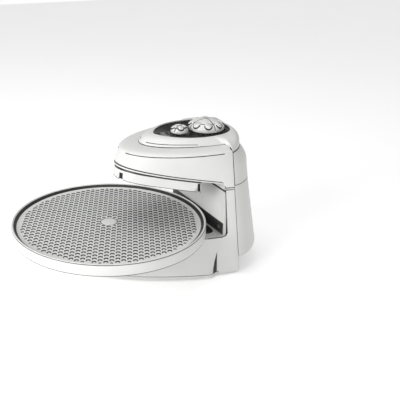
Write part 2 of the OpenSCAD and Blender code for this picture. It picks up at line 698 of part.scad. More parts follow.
// A clip stands on a reflector and holds a rod that runs along its local X axis.
module clip(height) {
  difference() {
    translate([-1, -rod_d / 2 - 2, 0]) cube([2, rod_d + 4, height + rod_d / 2 + 1.5]);
    translate([-3, 0, height]) rotate([0, 90, 0]) cylinder(d = rod_d + 0.3, h = 6);
  }
}
module clip_set(y0, y1, w, height) {
  lean = atan2(w - tip_x, y1 - y0);
  for (s = [-1, 1]) {
    f = 0.62;
    translate([s * mix(tip_x, w, f), mix(y0, y1, f), 0]) rotate([0, 0, 90 - s * lean]) clip(height);
    translate([s * (leg_x + w) / 2, y1, 0]) clip(height);
  }
}
module lower_clips() {
  height = lower_rod_z - deck_z + tray_depth;
  color(steel) translate([0, 0, deck_z - tray_depth]) clip_set(lower_start, lower_end, loop_w / 2, height);
}
module upper_clips() {
  roof = (0.1 + sheet_t) * cos(tilt);
  color(steel) on_floor(-roof) mirror([0, 0, 1])
    clip_set(along(upper_start), along(upper_end), upper_w, upper_low - roof);
}
module ceramic(h) {
  difference() {
    cylinder(d = ceramic_d, h = h);
    translate([0, 0, -1]) cylinder(d = rod_d + 0.3, h = h + 2);
  }
}
module ceramic_bushes() {
  color([0.9, 0.88, 0.82])
  for (s = [-1, 1]) {
    translate([s * leg_x, lower_end, deck_z - tray_depth - 6]) ceramic(9);
    on_floor(-3) translate([s * leg_x, along(upper_end), 0]) ceramic(9);
  }
}

// ---------- rear bracket ----------
bracket_y = rear_y - 19;
bracket_w = 30;
bracket_t = 1.5;
bracket_top = 192;
rear_screw_z = [110, 178];
function rear_back(z) = rear_y + (seam_z - z) * rear_draft * (z < seam_z ? 1 : 2 / 3);
function rear_lean(z) = atan(rear_draft * (z < seam_z ? 1 : 2 / 3));
// Local Z points out of the rear cover at height z, with the origin on its outer face.
module on_rear(z) {
  translate([0, rear_back(z), z]) rotate([-90 + rear_lean(z), 0, 0]) children();
}
module rear_bracket() {
  color(steel)
  difference() {
    union() {
      translate([-bracket_w / 2, bracket_y, plate_top]) cube([bracket_w, bracket_t, bracket_top - plate_top]);
      translate([-bracket_w / 2, bracket_y - 16, plate_top]) cube([bracket_w, 17, bracket_t]);
    }
    for (z = rear_screw_z) on_rear(z) translate([0, 0, -60]) cylinder(d = screw_d + 0.4, h = 60);
    translate([0, bracket_y - 8, 0]) cylinder(d = screw_d + 0.4, h = 20);
  }
}
module rear_spacers() {
  color(steel)
  for (z = rear_screw_z)
    difference() {
      on_rear(z) translate([0, 0, -60]) cylinder(d = post_d, h = 60 - wall - 0.5);
      on_rear(z) translate([0, 0, -61]) cylinder(d = screw_d + 0.4, h = 62);
      translate([-20, bracket_y - 60, z - 40]) cube([40, 60 + bracket_t, 80]);
    }
}
module rear_screws() {
  color(steel)
  for (z = rear_screw_z)
    on_rear(z) translate([0, 0, 0.1]) mirror([0, 0, 1]) screw(rear_back(z) - bracket_y + 3, 7, 2);
}
gland_z = 60;
gland_d = 14;
module cable_gland() {
  color(black)
  on_rear(gland_z)
  difference() {
    union() {
      translate([0, 0, 0.1]) cylinder(d = gland_d + 7, h = 2.5);
      translate([0, 0, -wall - 9]) cylinder(d = gland_d, h = wall + 10);
        translate([0, 0, -wall - 5.2]) cylinder(d = gland_d + 6, h = 4, $fn = 6);
    }
    translate([0, 0, -20]) cylinder(d = cable_bore, h = 30);
  }
}

// ---------- bottom plate and feet ----------
feet_at = concat(
  [[0, 10 - base_nose]],
  [for (s = [1, -1]) [70 * s, throat_y - 48]],
  [for (s = [1, -1]) [62 * s, throat_y + 34]]
);
function plate_half(d) =
  let (
    p = base_curve(deck_z),
    ue = param_at(p, band_end),
    edge = [
      for (i = [0:22])
        let (u = ue * i / 22) base_point(u, plate_rim) - curve_normal(base_curve(plate_rim), u) * d
    ],
    c = corner(plate_z)
  )
  concat(edge, [[c[0] - wall - 4.5, band_end_low + 0.7]], plate_back());
// The plate's rear end, which stays inside the foot of the rear cover.
function plate_back() =
  let (
    c = corner(plate_z),
    back = bracket_y + bracket_t + 2,
    from = [c[0] - wall - 4.5, c[1] - 6]
  )
  [for (i = [0:8]) cubic([from, from + [-17, 18], [0.36 * c[0], back], [0, back]], i / 8)];
module base_plate() {
  color(white)
  difference() {
    union() {
      translate([0, 0, plate_z]) linear_extrude(plate_t) polygon(both(plate_half(0)));
      difference() {
        translate([0, 0, plate_z]) linear_extrude(plate_rim) polygon(both(plate_half(0)));
        translate([0, 0, plate_z]) linear_extrude(plate_rim + 1) polygon(both(plate_half(wall)));
        translate([-200, band_end_low - 1, plate_z]) cube([400, 200, plate_rim + 1]);
      }
    }
    for (p = post_at) translate([p[0], p[1], 0]) {
      cylinder(d = screw_d + 0.4, h = 20);
      cylinder(d = 7, h = plate_z + 1.2);
    }
    for (p = feet_at) translate([p[0], p[1], 0]) {
      cylinder(d = foot_d + 0.4, h = foot_h);
      cylinder(d = 5.6, h = 20);
    }
    translate([0, bracket_y - 8, 0]) {
      cylinder(d = screw_d + 0.4, h = 20);
      cylinder(d = 7, h = plate_z + 1.2);
    }
  }
}
module rubber_feet() {
  color(black)
  for (p = feet_at) translate([p[0], p[1], 0]) {
    cylinder(d1 = foot_d - 1.5, d2 = foot_d, h = foot_h - 0.05);
    cylinder(d = 5, h = plate_top + 1.5);
  }
}
module base_screws() {
  color(steel) {
    for (p = post_at) translate([p[0], p[1], plate_z + 1.1]) screw(14, 6, 1);
    translate([0, bracket_y - 8, plate_z + 1.1]) {
      screw(6, 6, 1);
      translate([0, 0, plate_top + bracket_t + 0.1 - plate_z - 1.1]) nut(screw_d, 2);
    }
  }
}
module nut(bore, h, across = 0) {
  difference() {
    cylinder(d = across > 0 ? across : 2 * bore, h = h, $fn = 6);
    translate([0, 0, -1]) cylinder(d = bore + 0.04, h = h + 2);
  }
}

// ---------- pan ----------
pan_corner = 2.2;
function arc(cx, cy, r, a, b, n = 6) =
  [for (i = [0:n]) let (w = mix(a, b, i / n)) [cx + r * cos(w), cy + r * sin(w)]];
notch_w = 5;
notch_r = pan_hole_d / 2 + 4;
module pan() {
  t = pan_sheet;
  edge = [pan_r - pan_rim, rim_z - pan_well * 0.48];
  foot = [edge[0] - pan_band, floor_z];
  color(white)
  difference() {
    rotate_extrude() polygon(concat(
      [[pan_hole_d / 2, floor_z - t], foot + [t / 2, -t], edge + [t * 0.7, -t]],
      [[pan_r - pan_corner - t / 2, rim_z - t], [pan_r - t, rim_z - pan_corner - t / 2]],
      [[pan_r - t, skirt_z], [pan_r, skirt_z]],
      arc(pan_r - pan_corner, rim_z - pan_corner, pan_corner, 0, 90),
      [edge, foot, [pan_hole_d / 2, floor_z]]
    ));
    for (s = [0, 180])
      rotate([0, 0, s]) translate([0, -notch_w / 2, floor_z - 5]) cube([notch_r, notch_w, 10]);
  }
}

// ---------- drive ----------
hub_top = floor_z + 0.2;
hub_low = floor_z - pan_sheet - 3;
sleeve_low = deck_z + 2;
motor_top = deck_z - plate_t;
shaft_low = motor_top - motor_h + 5;
module drive_hub() {
  r = pan_hole_d / 2 - 0.5;
  color(white)
  difference() {
    union() {
      rotate_extrude() polygon([
        [0, sleeve_low], [8, sleeve_low], [8, hub_low], [hub_d / 2, hub_low],
        [hub_d / 2, floor_z - pan_sheet], [r, floor_z - pan_sheet],
        [r, hub_top - 0.5], [r - 0.8, hub_top], [0, hub_top + 0.3]
      ]);
      intersection() {
        for (s = [0, 180])
          rotate([0, 0, s]) translate([0, 0.5 - notch_w / 2, floor_z - pan_sheet - 0.5])
            cube([notch_r - 0.5, notch_w - 1, pan_sheet + 0.3]);
        cylinder(r = notch_r - 0.5, h = 200);
      }
    }
    translate([0, 0, sleeve_low - 1]) cylinder(d = drive_shaft_d + 0.04, h = hub_low + 2 - sleeve_low + 1);
  }
}
module drive_shaft() {
  color(steel) translate([0, 0, shaft_low]) cylinder(d = drive_shaft_d, h = hub_low + 1.9 - shaft_low);
}
module gear_motor() {
  color(steel)
  difference() {
    union() {
      translate([0, 0, motor_top - motor_h]) cylinder(d = motor_d, h = motor_h);
      translate([-ear_at[0] - ear_r, ear_at[1] - 5, motor_top - 1.5])
        cube([2 * (ear_at[0] + ear_r), 10, 1.5]);
      translate([0, 12, motor_top - motor_h - 3]) cylinder(d = 12, h = 4);
    }
    translate([0, 0, shaft_low - 0.1]) cylinder(d = drive_shaft_d + 2 * run_gap, h = motor_h);
    for (s = [-1, 1])
      translate([s * ear_at[0], ear_at[1], motor_top - 3]) cylinder(d = screw_d + 0.2, h = 6);
  }
}
module motor_screws() {
  color(steel)
  for (s = [-1, 1]) translate([s * ear_at[0], ear_at[1], motor_top - 1.6]) screw(3.8, 6, 1.8);
}

// ---------- controls ----------
timer_box = [45, 40, 28];
switch_box = [30, 28, 20];
bush_h = 3;           // length of a bush above the control panel
knob_lift = 1.4;      // gap between a knob and the control panel
module control_body(box, y) {
  difference() {
    union() {
      translate([-box[0] / 2, y - box[1] / 2, panel_low - box[2] - 0.05]) cube(box);
      translate([0, y, panel_low - 2]) cylinder(d = bush_d, h = panel_top + bush_h - panel_low + 2);
    }
    translate([0, y, panel_low - box[2] + 6]) cylinder(d = shaft_d + 2 * run_gap, h = 60);
  }
}
module timer_body() {
  color(steel) control_body(timer_box, timer_y);
}
module selector_switch() {
  color(steel) control_body(switch_box, selector_y);
}
module control_shaft(box, y, knob_h) {
  low = panel_low - box[2] + 6.1;
  translate([0, y, low]) cylinder(d = shaft_d, h = panel_top + knob_lift + knob_h - 2.6 - low);
}
module timer_shaft() {
  color(steel) control_shaft(timer_box, timer_y, timer_h);
}
module selector_shaft() {
  color(steel) control_shaft(switch_box, selector_y, selector_h);
}
module panel_nuts() {
  color(steel) for (y = [timer_y, selector_y]) translate([0, y, panel_top + 0.05]) nut(bush_d, 2, 15);
}
// A domed knob: grooves across its crown, one round it, and a ring of round studs on its flank.
groove_w = 1.2;
groove_deep = 0.7;
groove_ring = 0.75;   // radius of the round groove, as a share of the knob's
grooves = 2;          // grooves through the axis
module dome(r, h, side) {
  rotate_extrude() polygon(concat(
    [[0, 0], [r - 0.6, 0], [r, 0.6]],
    [for (i = [0:14]) let (a = 90 * i / 14) [r * cos(a), side + (h - side) * sin(a)]]
  ));
}
module knob(y, d, h, side, studs, stud_d, share, turn) {
  r = d / 2;
  drop = sqrt(1 - share * share);
  slope = atan((h - side) / r * share / drop);
  translate([0, y, panel_top + knob_lift])
  difference() {
    rotate([0, 0, turn]) {
      dome(r - groove_deep, h - groove_deep, side - groove_deep);
      difference() {
        dome(r, h, side);
        for (i = [0:grooves - 1])
          rotate([0, 0, 180 * i / grooves]) translate([-r, -groove_w / 2, side]) cube([d, groove_w, h]);
        rotate_extrude() translate([groove_ring * r - groove_w / 2, side]) square([groove_w, h]);
      }
      intersection() {
        for (i = [0:studs - 1])
          rotate([0, 0, 360 * (i + 0.5) / studs]) translate([share * r, 0, side + (h - side) * drop])
            rotate([0, slope, 0]) translate([0, 0, -2]) cylinder(d = stud_d, h = 2.6);
        translate([0, 0, 0.6]) cylinder(d = d, h = h);
      }
    }
    translate([0, 0, -1]) cylinder(d = shaft_d + 0.04, h = h - 1.5);
    translate([0, 0, -1]) cylinder(d = 19, h = 3.6);
  }
}
module timer_knob() {
  color(white) knob(timer_y, timer_d, timer_h, 4, 8, 13, 0.86, 0);
}
module selector_knob() {
  color(white) knob(selector_y, selector_d, selector_h, 3, 4, 11, 0.66, -60);
}
bell_z = panel_low - timer_box[2] - 3;
module timer_bell() {
  color(steel)
  translate([0, timer_y, bell_z])
  difference() {
    union() {
      rotate_extrude() polygon([
        [2.2, -1], [8, -1.4], [13, -4], [16, -9], [15, -9], [12.2, -4.8], [7.6, -2.4], [2.2, -2.1]
      ]);
      translate([0, 0, -4]) cylinder(d = 5, h = 6.9);
    }
  }
}

// ---------- screws and wiring in the head ----------
module head_screws() {
  color(steel)
  for (i = [0:2])
    let (p = head_screws_at[i], seat = i == 0 ? -sheet_t - 0.2 : -0.1)
    on_floor() translate([p[0], along(p[1]), seat]) screw(14, 6, 1.8);
}
block_at = [-34, throat_y + 37];
poles = 5;
function pole_x(i) = block_at[0] + 6 * (i - (poles - 1) / 2);
module terminal_block() {
  color([0.85, 0.83, 0.75])
  difference() {
    translate([block_at[0] - 16, block_at[1] - 7, plate_top]) cube([32, 14, 13]);
    for (i = [0:poles - 1]) translate([pole_x(i), block_at[1], plate_top + 6]) cylinder(d = 4, h = 10);
  }
}
module thermal_cutout() {
  color(steel) on_floor() translate([cutout_at[0], along(cutout_at[1]), plate_t + 0.05]) {
    cylinder(d = 16, h = 6);
    translate([0, 0, 5]) cylinder(d = 10, h = 4);
  }
}
wire_d = 2.4;
module wire(points) { tube(round_path(points, [for (i = [2:len(points) - 1]) 9], 3), wire_d, 6); }
module lead_wires() {
  block_top = plate_top + 6.2;
  under = 28;         // height at which the leads run forward under the deck
  rod_end = lower_rod_z - leg_l - 0.1;
  leg_top = leg_l - upper_low + 0.1;
  color([0.75, 0.72, 0.65]) {
    for (i = [0, 1]) let (x = pole_x(4 * i)) wire([
      [x, block_at[1], block_top], [x, block_at[1], 44], [-25 + 6 * i, bracket_y - 9, 120],
      [-14 + 6 * i, timer_y + 17, 182], [-14 + 6 * i, timer_y + 17, panel_low - timer_box[2] - 0.3]
    ]);
    for (s = [-1, 1]) {
      wire([
        [pole_x(2 + s), block_at[1], block_top], [pole_x(2 + s), block_at[1], under],
        [s * leg_x, throat_y + 2, under], [s * leg_x, lower_end, under], [s * leg_x, lower_end, rod_end]
      ]);
      wire([
        [s * 9, timer_y - timer_box[1] / 2 - 0.1, panel_low - 8],
        [s * 9, selector_y + switch_box[1] / 2 + 0.1, panel_low - 8]
      ]);
      on_floor() tube([
        [s * leg_x, along(upper_end), leg_top], [s * leg_x, along(upper_end), leg_top + 5]
      ], wire_d, 6);
    }
  }
}

// ---------- drawing ----------
module at_hub() { translate([0, hub_y, 0]) children(); }
at_hub() lower_housing();
at_hub() upper_housing();
at_hub() rear_cover_lower();
at_hub() rear_cover_upper();
at_hub() top_bezel();
at_hub() control_panel();
at_hub() deck_plate();
at_hub() throat_liner();
at_hub() throat_shield();
at_hub() shield_screws();
at_hub() head_floor();
at_hub() head_screws();
at_hub() base_plate();
at_hub() base_screws();
at_hub() rubber_feet();
at_hub() rear_bracket();
at_hub() rear_spacers();
at_hub() rear_screws();
at_hub() cable_gland();
at_hub() upper_reflector();
at_hub() lower_reflector();
at_hub() upper_element();
at_hub() lower_element();
at_hub() upper_clips();
at_hub() lower_clips();
at_hub() ceramic_bushes();
at_hub() thermal_cutout();
at_hub() pan();
at_hub() drive_hub();
at_hub() drive_shaft();
at_hub() gear_motor();
at_hub() motor_screws();
at_hub() timer_body();
at_hub() timer_bell();
at_hub() timer_shaft();
at_hub() timer_knob();
at_hub() selector_switch();
at_hub() selector_shaft();
at_hub() selector_knob();
at_hub() panel_nuts();
at_hub() terminal_block();
at_hub() lead_wires();
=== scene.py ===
"""Looks of a rotating countertop pizza oven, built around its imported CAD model.

Lengths inside the classes are millimetres from the hub's axis, as in the part's source.
Each mesh is moved to the model's frame, in metres, when it is made.
"""

import json
import logging
import math
from contextlib import contextmanager
from dataclasses import dataclass
from enum import Enum
from typing import Callable, Iterator, Sequence

import bmesh
import bpy
import numpy as np
from bmesh.types import BMesh
from bpy.types import ID, Material, Mesh, Node, NodeSocket, NodeTree, Object
from mathutils import Matrix, Vector


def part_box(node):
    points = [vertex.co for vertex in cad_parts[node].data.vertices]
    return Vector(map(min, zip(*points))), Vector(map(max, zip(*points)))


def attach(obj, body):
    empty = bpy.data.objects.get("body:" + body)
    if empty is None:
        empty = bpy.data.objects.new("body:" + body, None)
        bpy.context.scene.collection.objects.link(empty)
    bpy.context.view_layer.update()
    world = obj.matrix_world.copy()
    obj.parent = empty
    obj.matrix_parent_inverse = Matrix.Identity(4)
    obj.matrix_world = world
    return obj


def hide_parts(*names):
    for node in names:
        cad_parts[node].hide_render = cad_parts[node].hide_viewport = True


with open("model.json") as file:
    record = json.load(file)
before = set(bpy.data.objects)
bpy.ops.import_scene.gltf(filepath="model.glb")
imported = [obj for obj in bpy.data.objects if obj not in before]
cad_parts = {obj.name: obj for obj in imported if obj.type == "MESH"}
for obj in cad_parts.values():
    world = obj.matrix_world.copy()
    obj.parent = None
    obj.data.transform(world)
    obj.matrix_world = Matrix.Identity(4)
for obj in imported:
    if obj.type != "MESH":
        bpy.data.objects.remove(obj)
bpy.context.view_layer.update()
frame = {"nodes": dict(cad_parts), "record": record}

logging.basicConfig(level=logging.INFO, format="%(message)s")
LOG = logging.getLogger("oven")
MM = 0.001
TAU = math.tau
HALVINGS = 26
SEAM_SLOT, RIM_SLOT = 1, 2
Point = Sequence[float]
Colour = tuple[float, float, float]


def hub_axis() -> np.ndarray:
    """Place of the turntable's axis in the model's frame, in metres."""
    low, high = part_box("drive_shaft")
    return np.array([(low.x + high.x) / 2, (low.y + high.y) / 2, 0.0])


HUB = hub_axis()


class Body(Enum):
    """The CAD bodies that pieces ride on."""

    BASE = "base"
    TURNTABLE = "turntable"
    PAN = "pan"
    TIMER = "timer_control"
    SELECTOR = "selector_control"


# ---------------------------------------------------------------- curves
def mix(a: float | np.ndarray, b: float | np.ndarray, t: float) -> float | np.ndarray:
    """The point or number a share t of the way from a to b."""
    return a + (b - a) * t


def clamp(x: float, low: float = 0.0, high: float = 1.0) -> float:
    """x held between low and high."""
    return max(low, min(high, x))


def ease(t: float) -> float:
    """A smooth step from 0 to 1."""
    return t * t * (3 - 2 * t)


def quad(a: np.ndarray, b: np.ndarray, c: np.ndarray, t: float) -> np.ndarray:
    """A point of the quadratic curve a, b, c."""
    return mix(mix(a, b, t), mix(b, c, t), t)


def raised(p: Point, z: float) -> np.ndarray:
    """A point of a plan outline, set at height z."""
    return np.array([p[0], p[1], z])


def circle(radius: float, z: float, steps: int) -> list:
    """Points of a circle round the origin, at height z."""
    return [(radius * math.cos(k * TAU / steps), radius * math.sin(k * TAU / steps), z) for k in range(steps)]


def pairs(ring: Sequence) -> list:
    """Each item of a closed ring with the next one."""
    return [(ring[k], ring[(k + 1) % len(ring)]) for k in range(len(ring))]


@dataclass(frozen=True)
class Curve:
    """A cubic curve in plan or in space.

    Args:
        points: its four control points.
    """

    points: tuple

    def at(self, t: float) -> np.ndarray:
        """The curve's point at parameter t."""
        a, b, c, d = (np.asarray(p, float) for p in self.points)
        s = 1 - t
        return s**3 * a + 3 * s * s * t * b + 3 * s * t * t * c + t**3 * d

    def param_at(self, y: float) -> float:
        """Finds where a front curve is y from the hub.

        Args:
            y: that distance.

        Returns:
            The parameter of the place.
        """
        low, high = 0.0, 1.0
        for _ in range(HALVINGS):
            mid = (low + high) / 2
            if self.at(mid)[1] < y:
                low = mid
            else:
                high = mid
        return (low + high) / 2

    def normal(self, t: float, step: float = 0.01) -> np.ndarray:
        """The outward normal in plan of a curve that runs from the tip to the corner.

        Args:
            t: parameter of the place.
            step: half the length of curve that gives the direction, as a parameter.

        Returns:
            A unit vector.
        """
        if t == 0:
            return np.array([0.0, -1.0])
        d = self.at(min(t + step, 1)) - self.at(max(t - step, 0))
        d = d / np.linalg.norm(d)
        return np.array([d[1], -d[0]])


# ---------------------------------------------------------------- meshes
def to_frame(points: Sequence[Point]) -> np.ndarray:
    """Points in millimetres from the hub's axis, as points in the model's frame."""
    return np.asarray(points, float) * MM + HUB


def spot(*point: float) -> Vector:
    """One such point, as a vector of the model's frame."""
    return Vector(to_frame([point])[0])


def new_mesh(name: str, points: Sequence[Point], faces: list) -> Mesh:
    """Makes a mesh.

    Args:
        name: its name.
        points: its vertices, in millimetres from the hub's axis.
        faces: its faces.

    Returns:
        The mesh.
    """
    mesh = bpy.data.meshes.new(name)
    mesh.from_pydata([tuple(p) for p in to_frame(points)], [], faces)
    return mesh


@contextmanager
def editing(mesh: Mesh) -> Iterator[BMesh]:
    """Opens a mesh for editing and writes it back at the end.

    Args:
        mesh: the mesh.

    Returns:
        Its editable form.
    """
    bm = bmesh.new()
    bm.from_mesh(mesh)
    yield bm
    bm.to_mesh(mesh)
    bm.free()


def add_object(name: str, data: ID) -> Object:
    """Links a mesh, lamp or camera to the scene as an object at the origin.

    Args:
        name: the object's name.
        data: its mesh, lamp or camera.

    Returns:
        The object.
    """
    obj = bpy.data.objects.new(name, data)
    bpy.context.scene.collection.objects.link(obj)
    return obj


def plain_mesh(obj: Object) -> None:
    """Turns an object's modifiers into its mesh.

    Args:
        obj: the object.
    """
    depsgraph = bpy.context.evaluated_depsgraph_get()
    shape = bpy.data.meshes.new_from_object(obj.evaluated_get(depsgraph))
    obj.modifiers.clear()
    obj.data = shape


def finish_mesh(obj: Object, angle: float = 32.0) -> Object:
    """Applies an object's modifiers and shades it smooth.

    Args:
        obj: the object.
        angle: angle in degrees above which an edge stays sharp.

    Returns:
        The object.
    """
    if obj.modifiers:
        plain_mesh(obj)
    obj.data.shade_smooth()
    obj.data.set_sharp_from_angle(angle=math.radians(angle))
    return obj


def round_edges(obj: Object, width: float, angle: float = 50.0, segments: int = 3) -> None:
    """Adds a bevel.

    Args:
        obj: the object.
        width: the bevel's width in millimetres.
        angle: angle in degrees above which an edge is rounded.
        segments: faces across the bevel.
    """
    bevel = obj.modifiers.new("rounding", "BEVEL")
    bevel.width = width * MM
    bevel.segments = segments
    bevel.limit_method = "ANGLE"
    bevel.angle_limit = math.radians(angle)


@dataclass(frozen=True)
class Shell:
    """A moulded shell: an outer surface with a wall on its inside, rounded rims, and painted shadow on its
    seams and grooves.

    Args:
        name: the piece's name.
        points: vertices of the outer surface, in millimetres.
        faces: its faces, listed so that their normals point outwards.
        wall: thickness in millimetres.
        rim: radius of the rims in millimetres.
        on_seam: whether a rim's face at a place in millimetres borders another shell.
        shape: rows and columns of faces in the surface's first grid.
        in_groove: whether the face of a row and column lies in a groove.
        merge: distance in millimetres under which vertices are joined.
        rim_faces: faces across a rim's rounding.
        rim_share: longest short edge of such a face, as a share of the rim's radius.
    """

    name: str
    points: list
    faces: list
    wall: float
    rim: float
    on_seam: Callable[[np.ndarray], bool]
    shape: tuple[int, int] = (1, 1)
    in_groove: Callable[[int, int], bool] | None = None
    merge: float = 0.02
    rim_faces: int = 3
    rim_share: float = 0.6

    def build(self, colour: Material, seam: Material) -> Object:
        """Makes the shell's object.

        Args:
            colour: the shell's material.
            seam: the material of the painted shadow in its grooves and on the rims along a seam.

        Returns:
            The finished object.
        """
        mesh = new_mesh(self.name, self.points, self.faces)
        for material in (colour, seam, seam):
            mesh.materials.append(material)
        rows, columns = self.shape
        for i, face in enumerate(mesh.polygons):
            if self.in_groove and self.in_groove(i // columns % rows, i % columns):
                face.material_index = SEAM_SLOT
        with editing(mesh) as bm:
            bmesh.ops.remove_doubles(bm, verts=bm.verts, dist=self.merge * MM)
        obj = add_object(self.name, mesh)
        thick = obj.modifiers.new("wall", "SOLIDIFY")
        thick.thickness = self.wall * MM
        thick.offset = -1
        thick.material_offset_rim = RIM_SLOT
        round_edges(obj, self.rim)
        finish_mesh(obj)
        self.darken_seams(obj)
        obj.data.materials.pop(index=RIM_SLOT)
        return obj

    def darken_seams(self, obj: Object) -> None:
        """Paints shadow on the seams: gives the seam's material to the rims that border another shell and to
        their rounding.

        Args:
            obj: the shell's object.
        """
        with editing(obj.data) as bm:
            front = []
            for face in bm.faces:
                if face.material_index == RIM_SLOT:
                    place = (np.array(face.calc_center_median()) - HUB) / MM
                    face.material_index = SEAM_SLOT if self.on_seam(place) else 0
                    if face.material_index:
                        front.append(face)
            for _ in range(self.rim_faces):
                near = {f for face in front for edge in face.edges for f in edge.link_faces}
                front = [f for f in near if not f.material_index
                         and min(e.calc_length() for e in f.edges) < self.rim * self.rim_share * MM]
                for face in front:
                    face.material_index = SEAM_SLOT


def grid_faces(rows: int, columns: int, start: int = 0, flip: bool = False) -> list:
    """Quads of a grid whose points are listed row by row.

    Args:
        rows: number of rows.
        columns: points in each row.
        start: number of the grid's first point.
        flip: whether the faces are turned over.

    Returns:
        The list of faces.
    """
    faces = []
    for i in range(rows - 1):
        for k in range(columns - 1):
            a = start + i * columns + k
            face = (a, a + 1, a + columns + 1, a + columns)
            faces.append(face[::-1] if flip else face)
    return faces


def mirrored(patches: list) -> tuple[list, list]:
    """Joins patches of the right half with their mirror images.

    Args:
        patches: grids of points, each a list of rows.

    Returns:
        The points and faces of both halves.
    """
    points, faces = [], []
    for rows in patches:
        for side in (1, -1):
            start = len(points)
            for row in rows:
                points.extend([side * p[0], p[1], p[2]] for p in row)
            faces.extend(grid_faces(len(rows), len(rows[0]), start, flip=side > 0))
    return points, faces


# ---------------------------------------------------------------- finishes
class Nodes:
    """A node tree, with short calls to add and join its nodes."""

    def __init__(self, tree: NodeTree) -> None:
        """Keeps the tree and empties it."""
        self.tree = tree
        tree.nodes.clear()

    def add(self, kind: str, values: dict | None = None, **props: object) -> Node:
        """Adds a node.

        Args:
            kind: its type.
            values: values of its inputs, by name or number.
            props: its properties.

        Returns:
            The node.
        """
        node = self.tree.nodes.new(kind)
        for key, value in props.items():
            setattr(node, key, value)
        for key, value in (values or {}).items():
            node.inputs[key].default_value = value
        return node

    def join(self, a: Node, out: int | str, b: Node, into: int | str) -> None:
        """Links output `out` of node a to input `into` of node b."""
        self.tree.links.new(a.outputs[out], b.inputs[into])


def colour_socket(sockets: Sequence[NodeSocket], name: str = "Result") -> NodeSocket:
    """The colour socket of that name among a Mix node's sockets."""
    return next(s for s in sockets if s.name == name and s.type == "RGBA")


class Graph(Nodes):
    """A material's node tree, with short calls for what its finishes need."""

    def __init__(self, name: str) -> None:
        """Makes a node material with its output, shader and coordinates.

        Args:
            name: the material's name.
        """
        self.material = bpy.data.materials.new(name)
        self.material.use_nodes = True
        super().__init__(self.material.node_tree)
        self.out = self.add("ShaderNodeOutputMaterial")
        self.shader = self.add("ShaderNodeBsdfPrincipled")
        self.join(self.shader, 0, self.out, "Surface")
        self.coords = self.add("ShaderNodeTexCoord")

    def math(self, operation: str, *values: float | NodeSocket) -> NodeSocket:
        """Adds a Math node.

        Args:
            operation: what it does.
            values: its inputs, numbers or sockets.

        Returns:
            The socket of its result.
        """
        node = self.add("ShaderNodeMath", operation=operation)
        for socket, value in zip(node.inputs, values):
            if isinstance(value, NodeSocket):
                self.tree.links.new(value, socket)
            else:
                socket.default_value = value
        return node.outputs[0]

    def length(self, a: NodeSocket, b: NodeSocket) -> NodeSocket:
        """The length of the vector (a, b)."""
        return self.math("SQRT", self.math("ADD", self.math("POWER", a, 2.0), self.math("POWER", b, 2.0)))

    def place(self, centre: Point = (0, 0, 0)) -> list:
        """The place of the surface in millimetres.

        Args:
            centre: the point it is measured from, itself measured from the hub's axis.

        Returns:
            The sockets of x, y and z.
        """
        moved = self.add("ShaderNodeVectorMath", {1: spot(*centre)}, operation="SUBTRACT")
        scaled = self.add("ShaderNodeVectorMath", {"Scale": 1 / MM}, operation="SCALE")
        split = self.add("ShaderNodeSeparateXYZ")
        self.join(self.coords, "Object", moved, 0)
        self.join(moved, 0, scaled, 0)
        self.join(scaled, 0, split, 0)
        return list(split.outputs)

    def noise(self, scale: float, detail: float = 2.0, stretch: Point = (1, 1, 1)) -> Node:
        """Adds noise in the object's own coordinates.

        Args:
            scale: its features to the metre.
            detail: its levels of finer features.
            stretch: scale along each axis.

        Returns:
            The noise node.
        """
        node = self.add("ShaderNodeTexNoise", {"Scale": scale, "Detail": detail})
        mapping = self.add("ShaderNodeMapping", {"Scale": stretch})
        self.join(self.coords, "Object", mapping, "Vector")
        self.join(mapping, 0, node, "Vector")
        return node

    def spread(self, source: Node, low: float, high: float, start: float = 0.35,
               end: float = 0.65, out: str = "Fac") -> Node:
        """Maps the source's range from start to end onto low to high.

        Args:
            source: the node that is mapped.
            low: lowest result.
            high: highest result.
            start: the source's value at low.
            end: its value at high.
            out: the source's output.

        Returns:
            The mapping node.
        """
        ends = {"From Min": start, "From Max": end, "To Min": low, "To Max": high}
        node = self.add("ShaderNodeMapRange", ends)
        self.join(source, out, node, "Value")
        return node

    def blend(self, factor: Node, a: Colour | Node, b: Colour | Node,
              out: int | str = "Result") -> Node:
        """Mixes two colours, each a plain colour or a node.

        Args:
            factor: the node whose output gives the share of b.
            a: the first colour.
            b: the second colour.
            out: the factor's output.

        Returns:
            The mixing node.
        """
        node = self.add("ShaderNodeMix", data_type="RGBA")
        self.join(factor, out, node, "Factor")
        for key, value in (("A", a), ("B", b)):
            socket = colour_socket(node.inputs, key)
            if isinstance(value, Node):
                self.tree.links.new(colour_socket(value.outputs), socket)
            else:
                socket.default_value = (*value, 1.0)
        return node

    def bump(self, source: Node, strength: float, depth: float, onto: Node | None = None) -> Node:
        """Adds a bump.

        Args:
            source: the noise that gives its height.
            strength: its strength.
            depth: its depth in millimetres.
            onto: an earlier bump that it lies on.

        Returns:
            The bump node.
        """
        node = self.add("ShaderNodeBump", {"Strength": strength, "Distance": depth * MM})
        self.join(source, "Fac", node, "Height")
        if onto:
            self.join(onto, 0, node, "Normal")
        return node

    def paint(self, colour: Node, rough: Node, normal: Node) -> Material:
        """Joins a finish to the shader.

        Args:
            colour: the node of its colour.
            rough: the node of its roughness.
            normal: the node of its normal.

        Returns:
            The material.
        """
        self.tree.links.new(colour_socket(colour.outputs), self.shader.inputs["Base Color"])
        self.join(rough, 0, self.shader, "Roughness")
        self.join(normal, 0, self.shader, "Normal")
        return self.material


def shade(colour: Colour, share: float) -> Colour:
    """A colour made lighter or darker by a share."""
    return tuple(clamp(c * share) for c in colour)


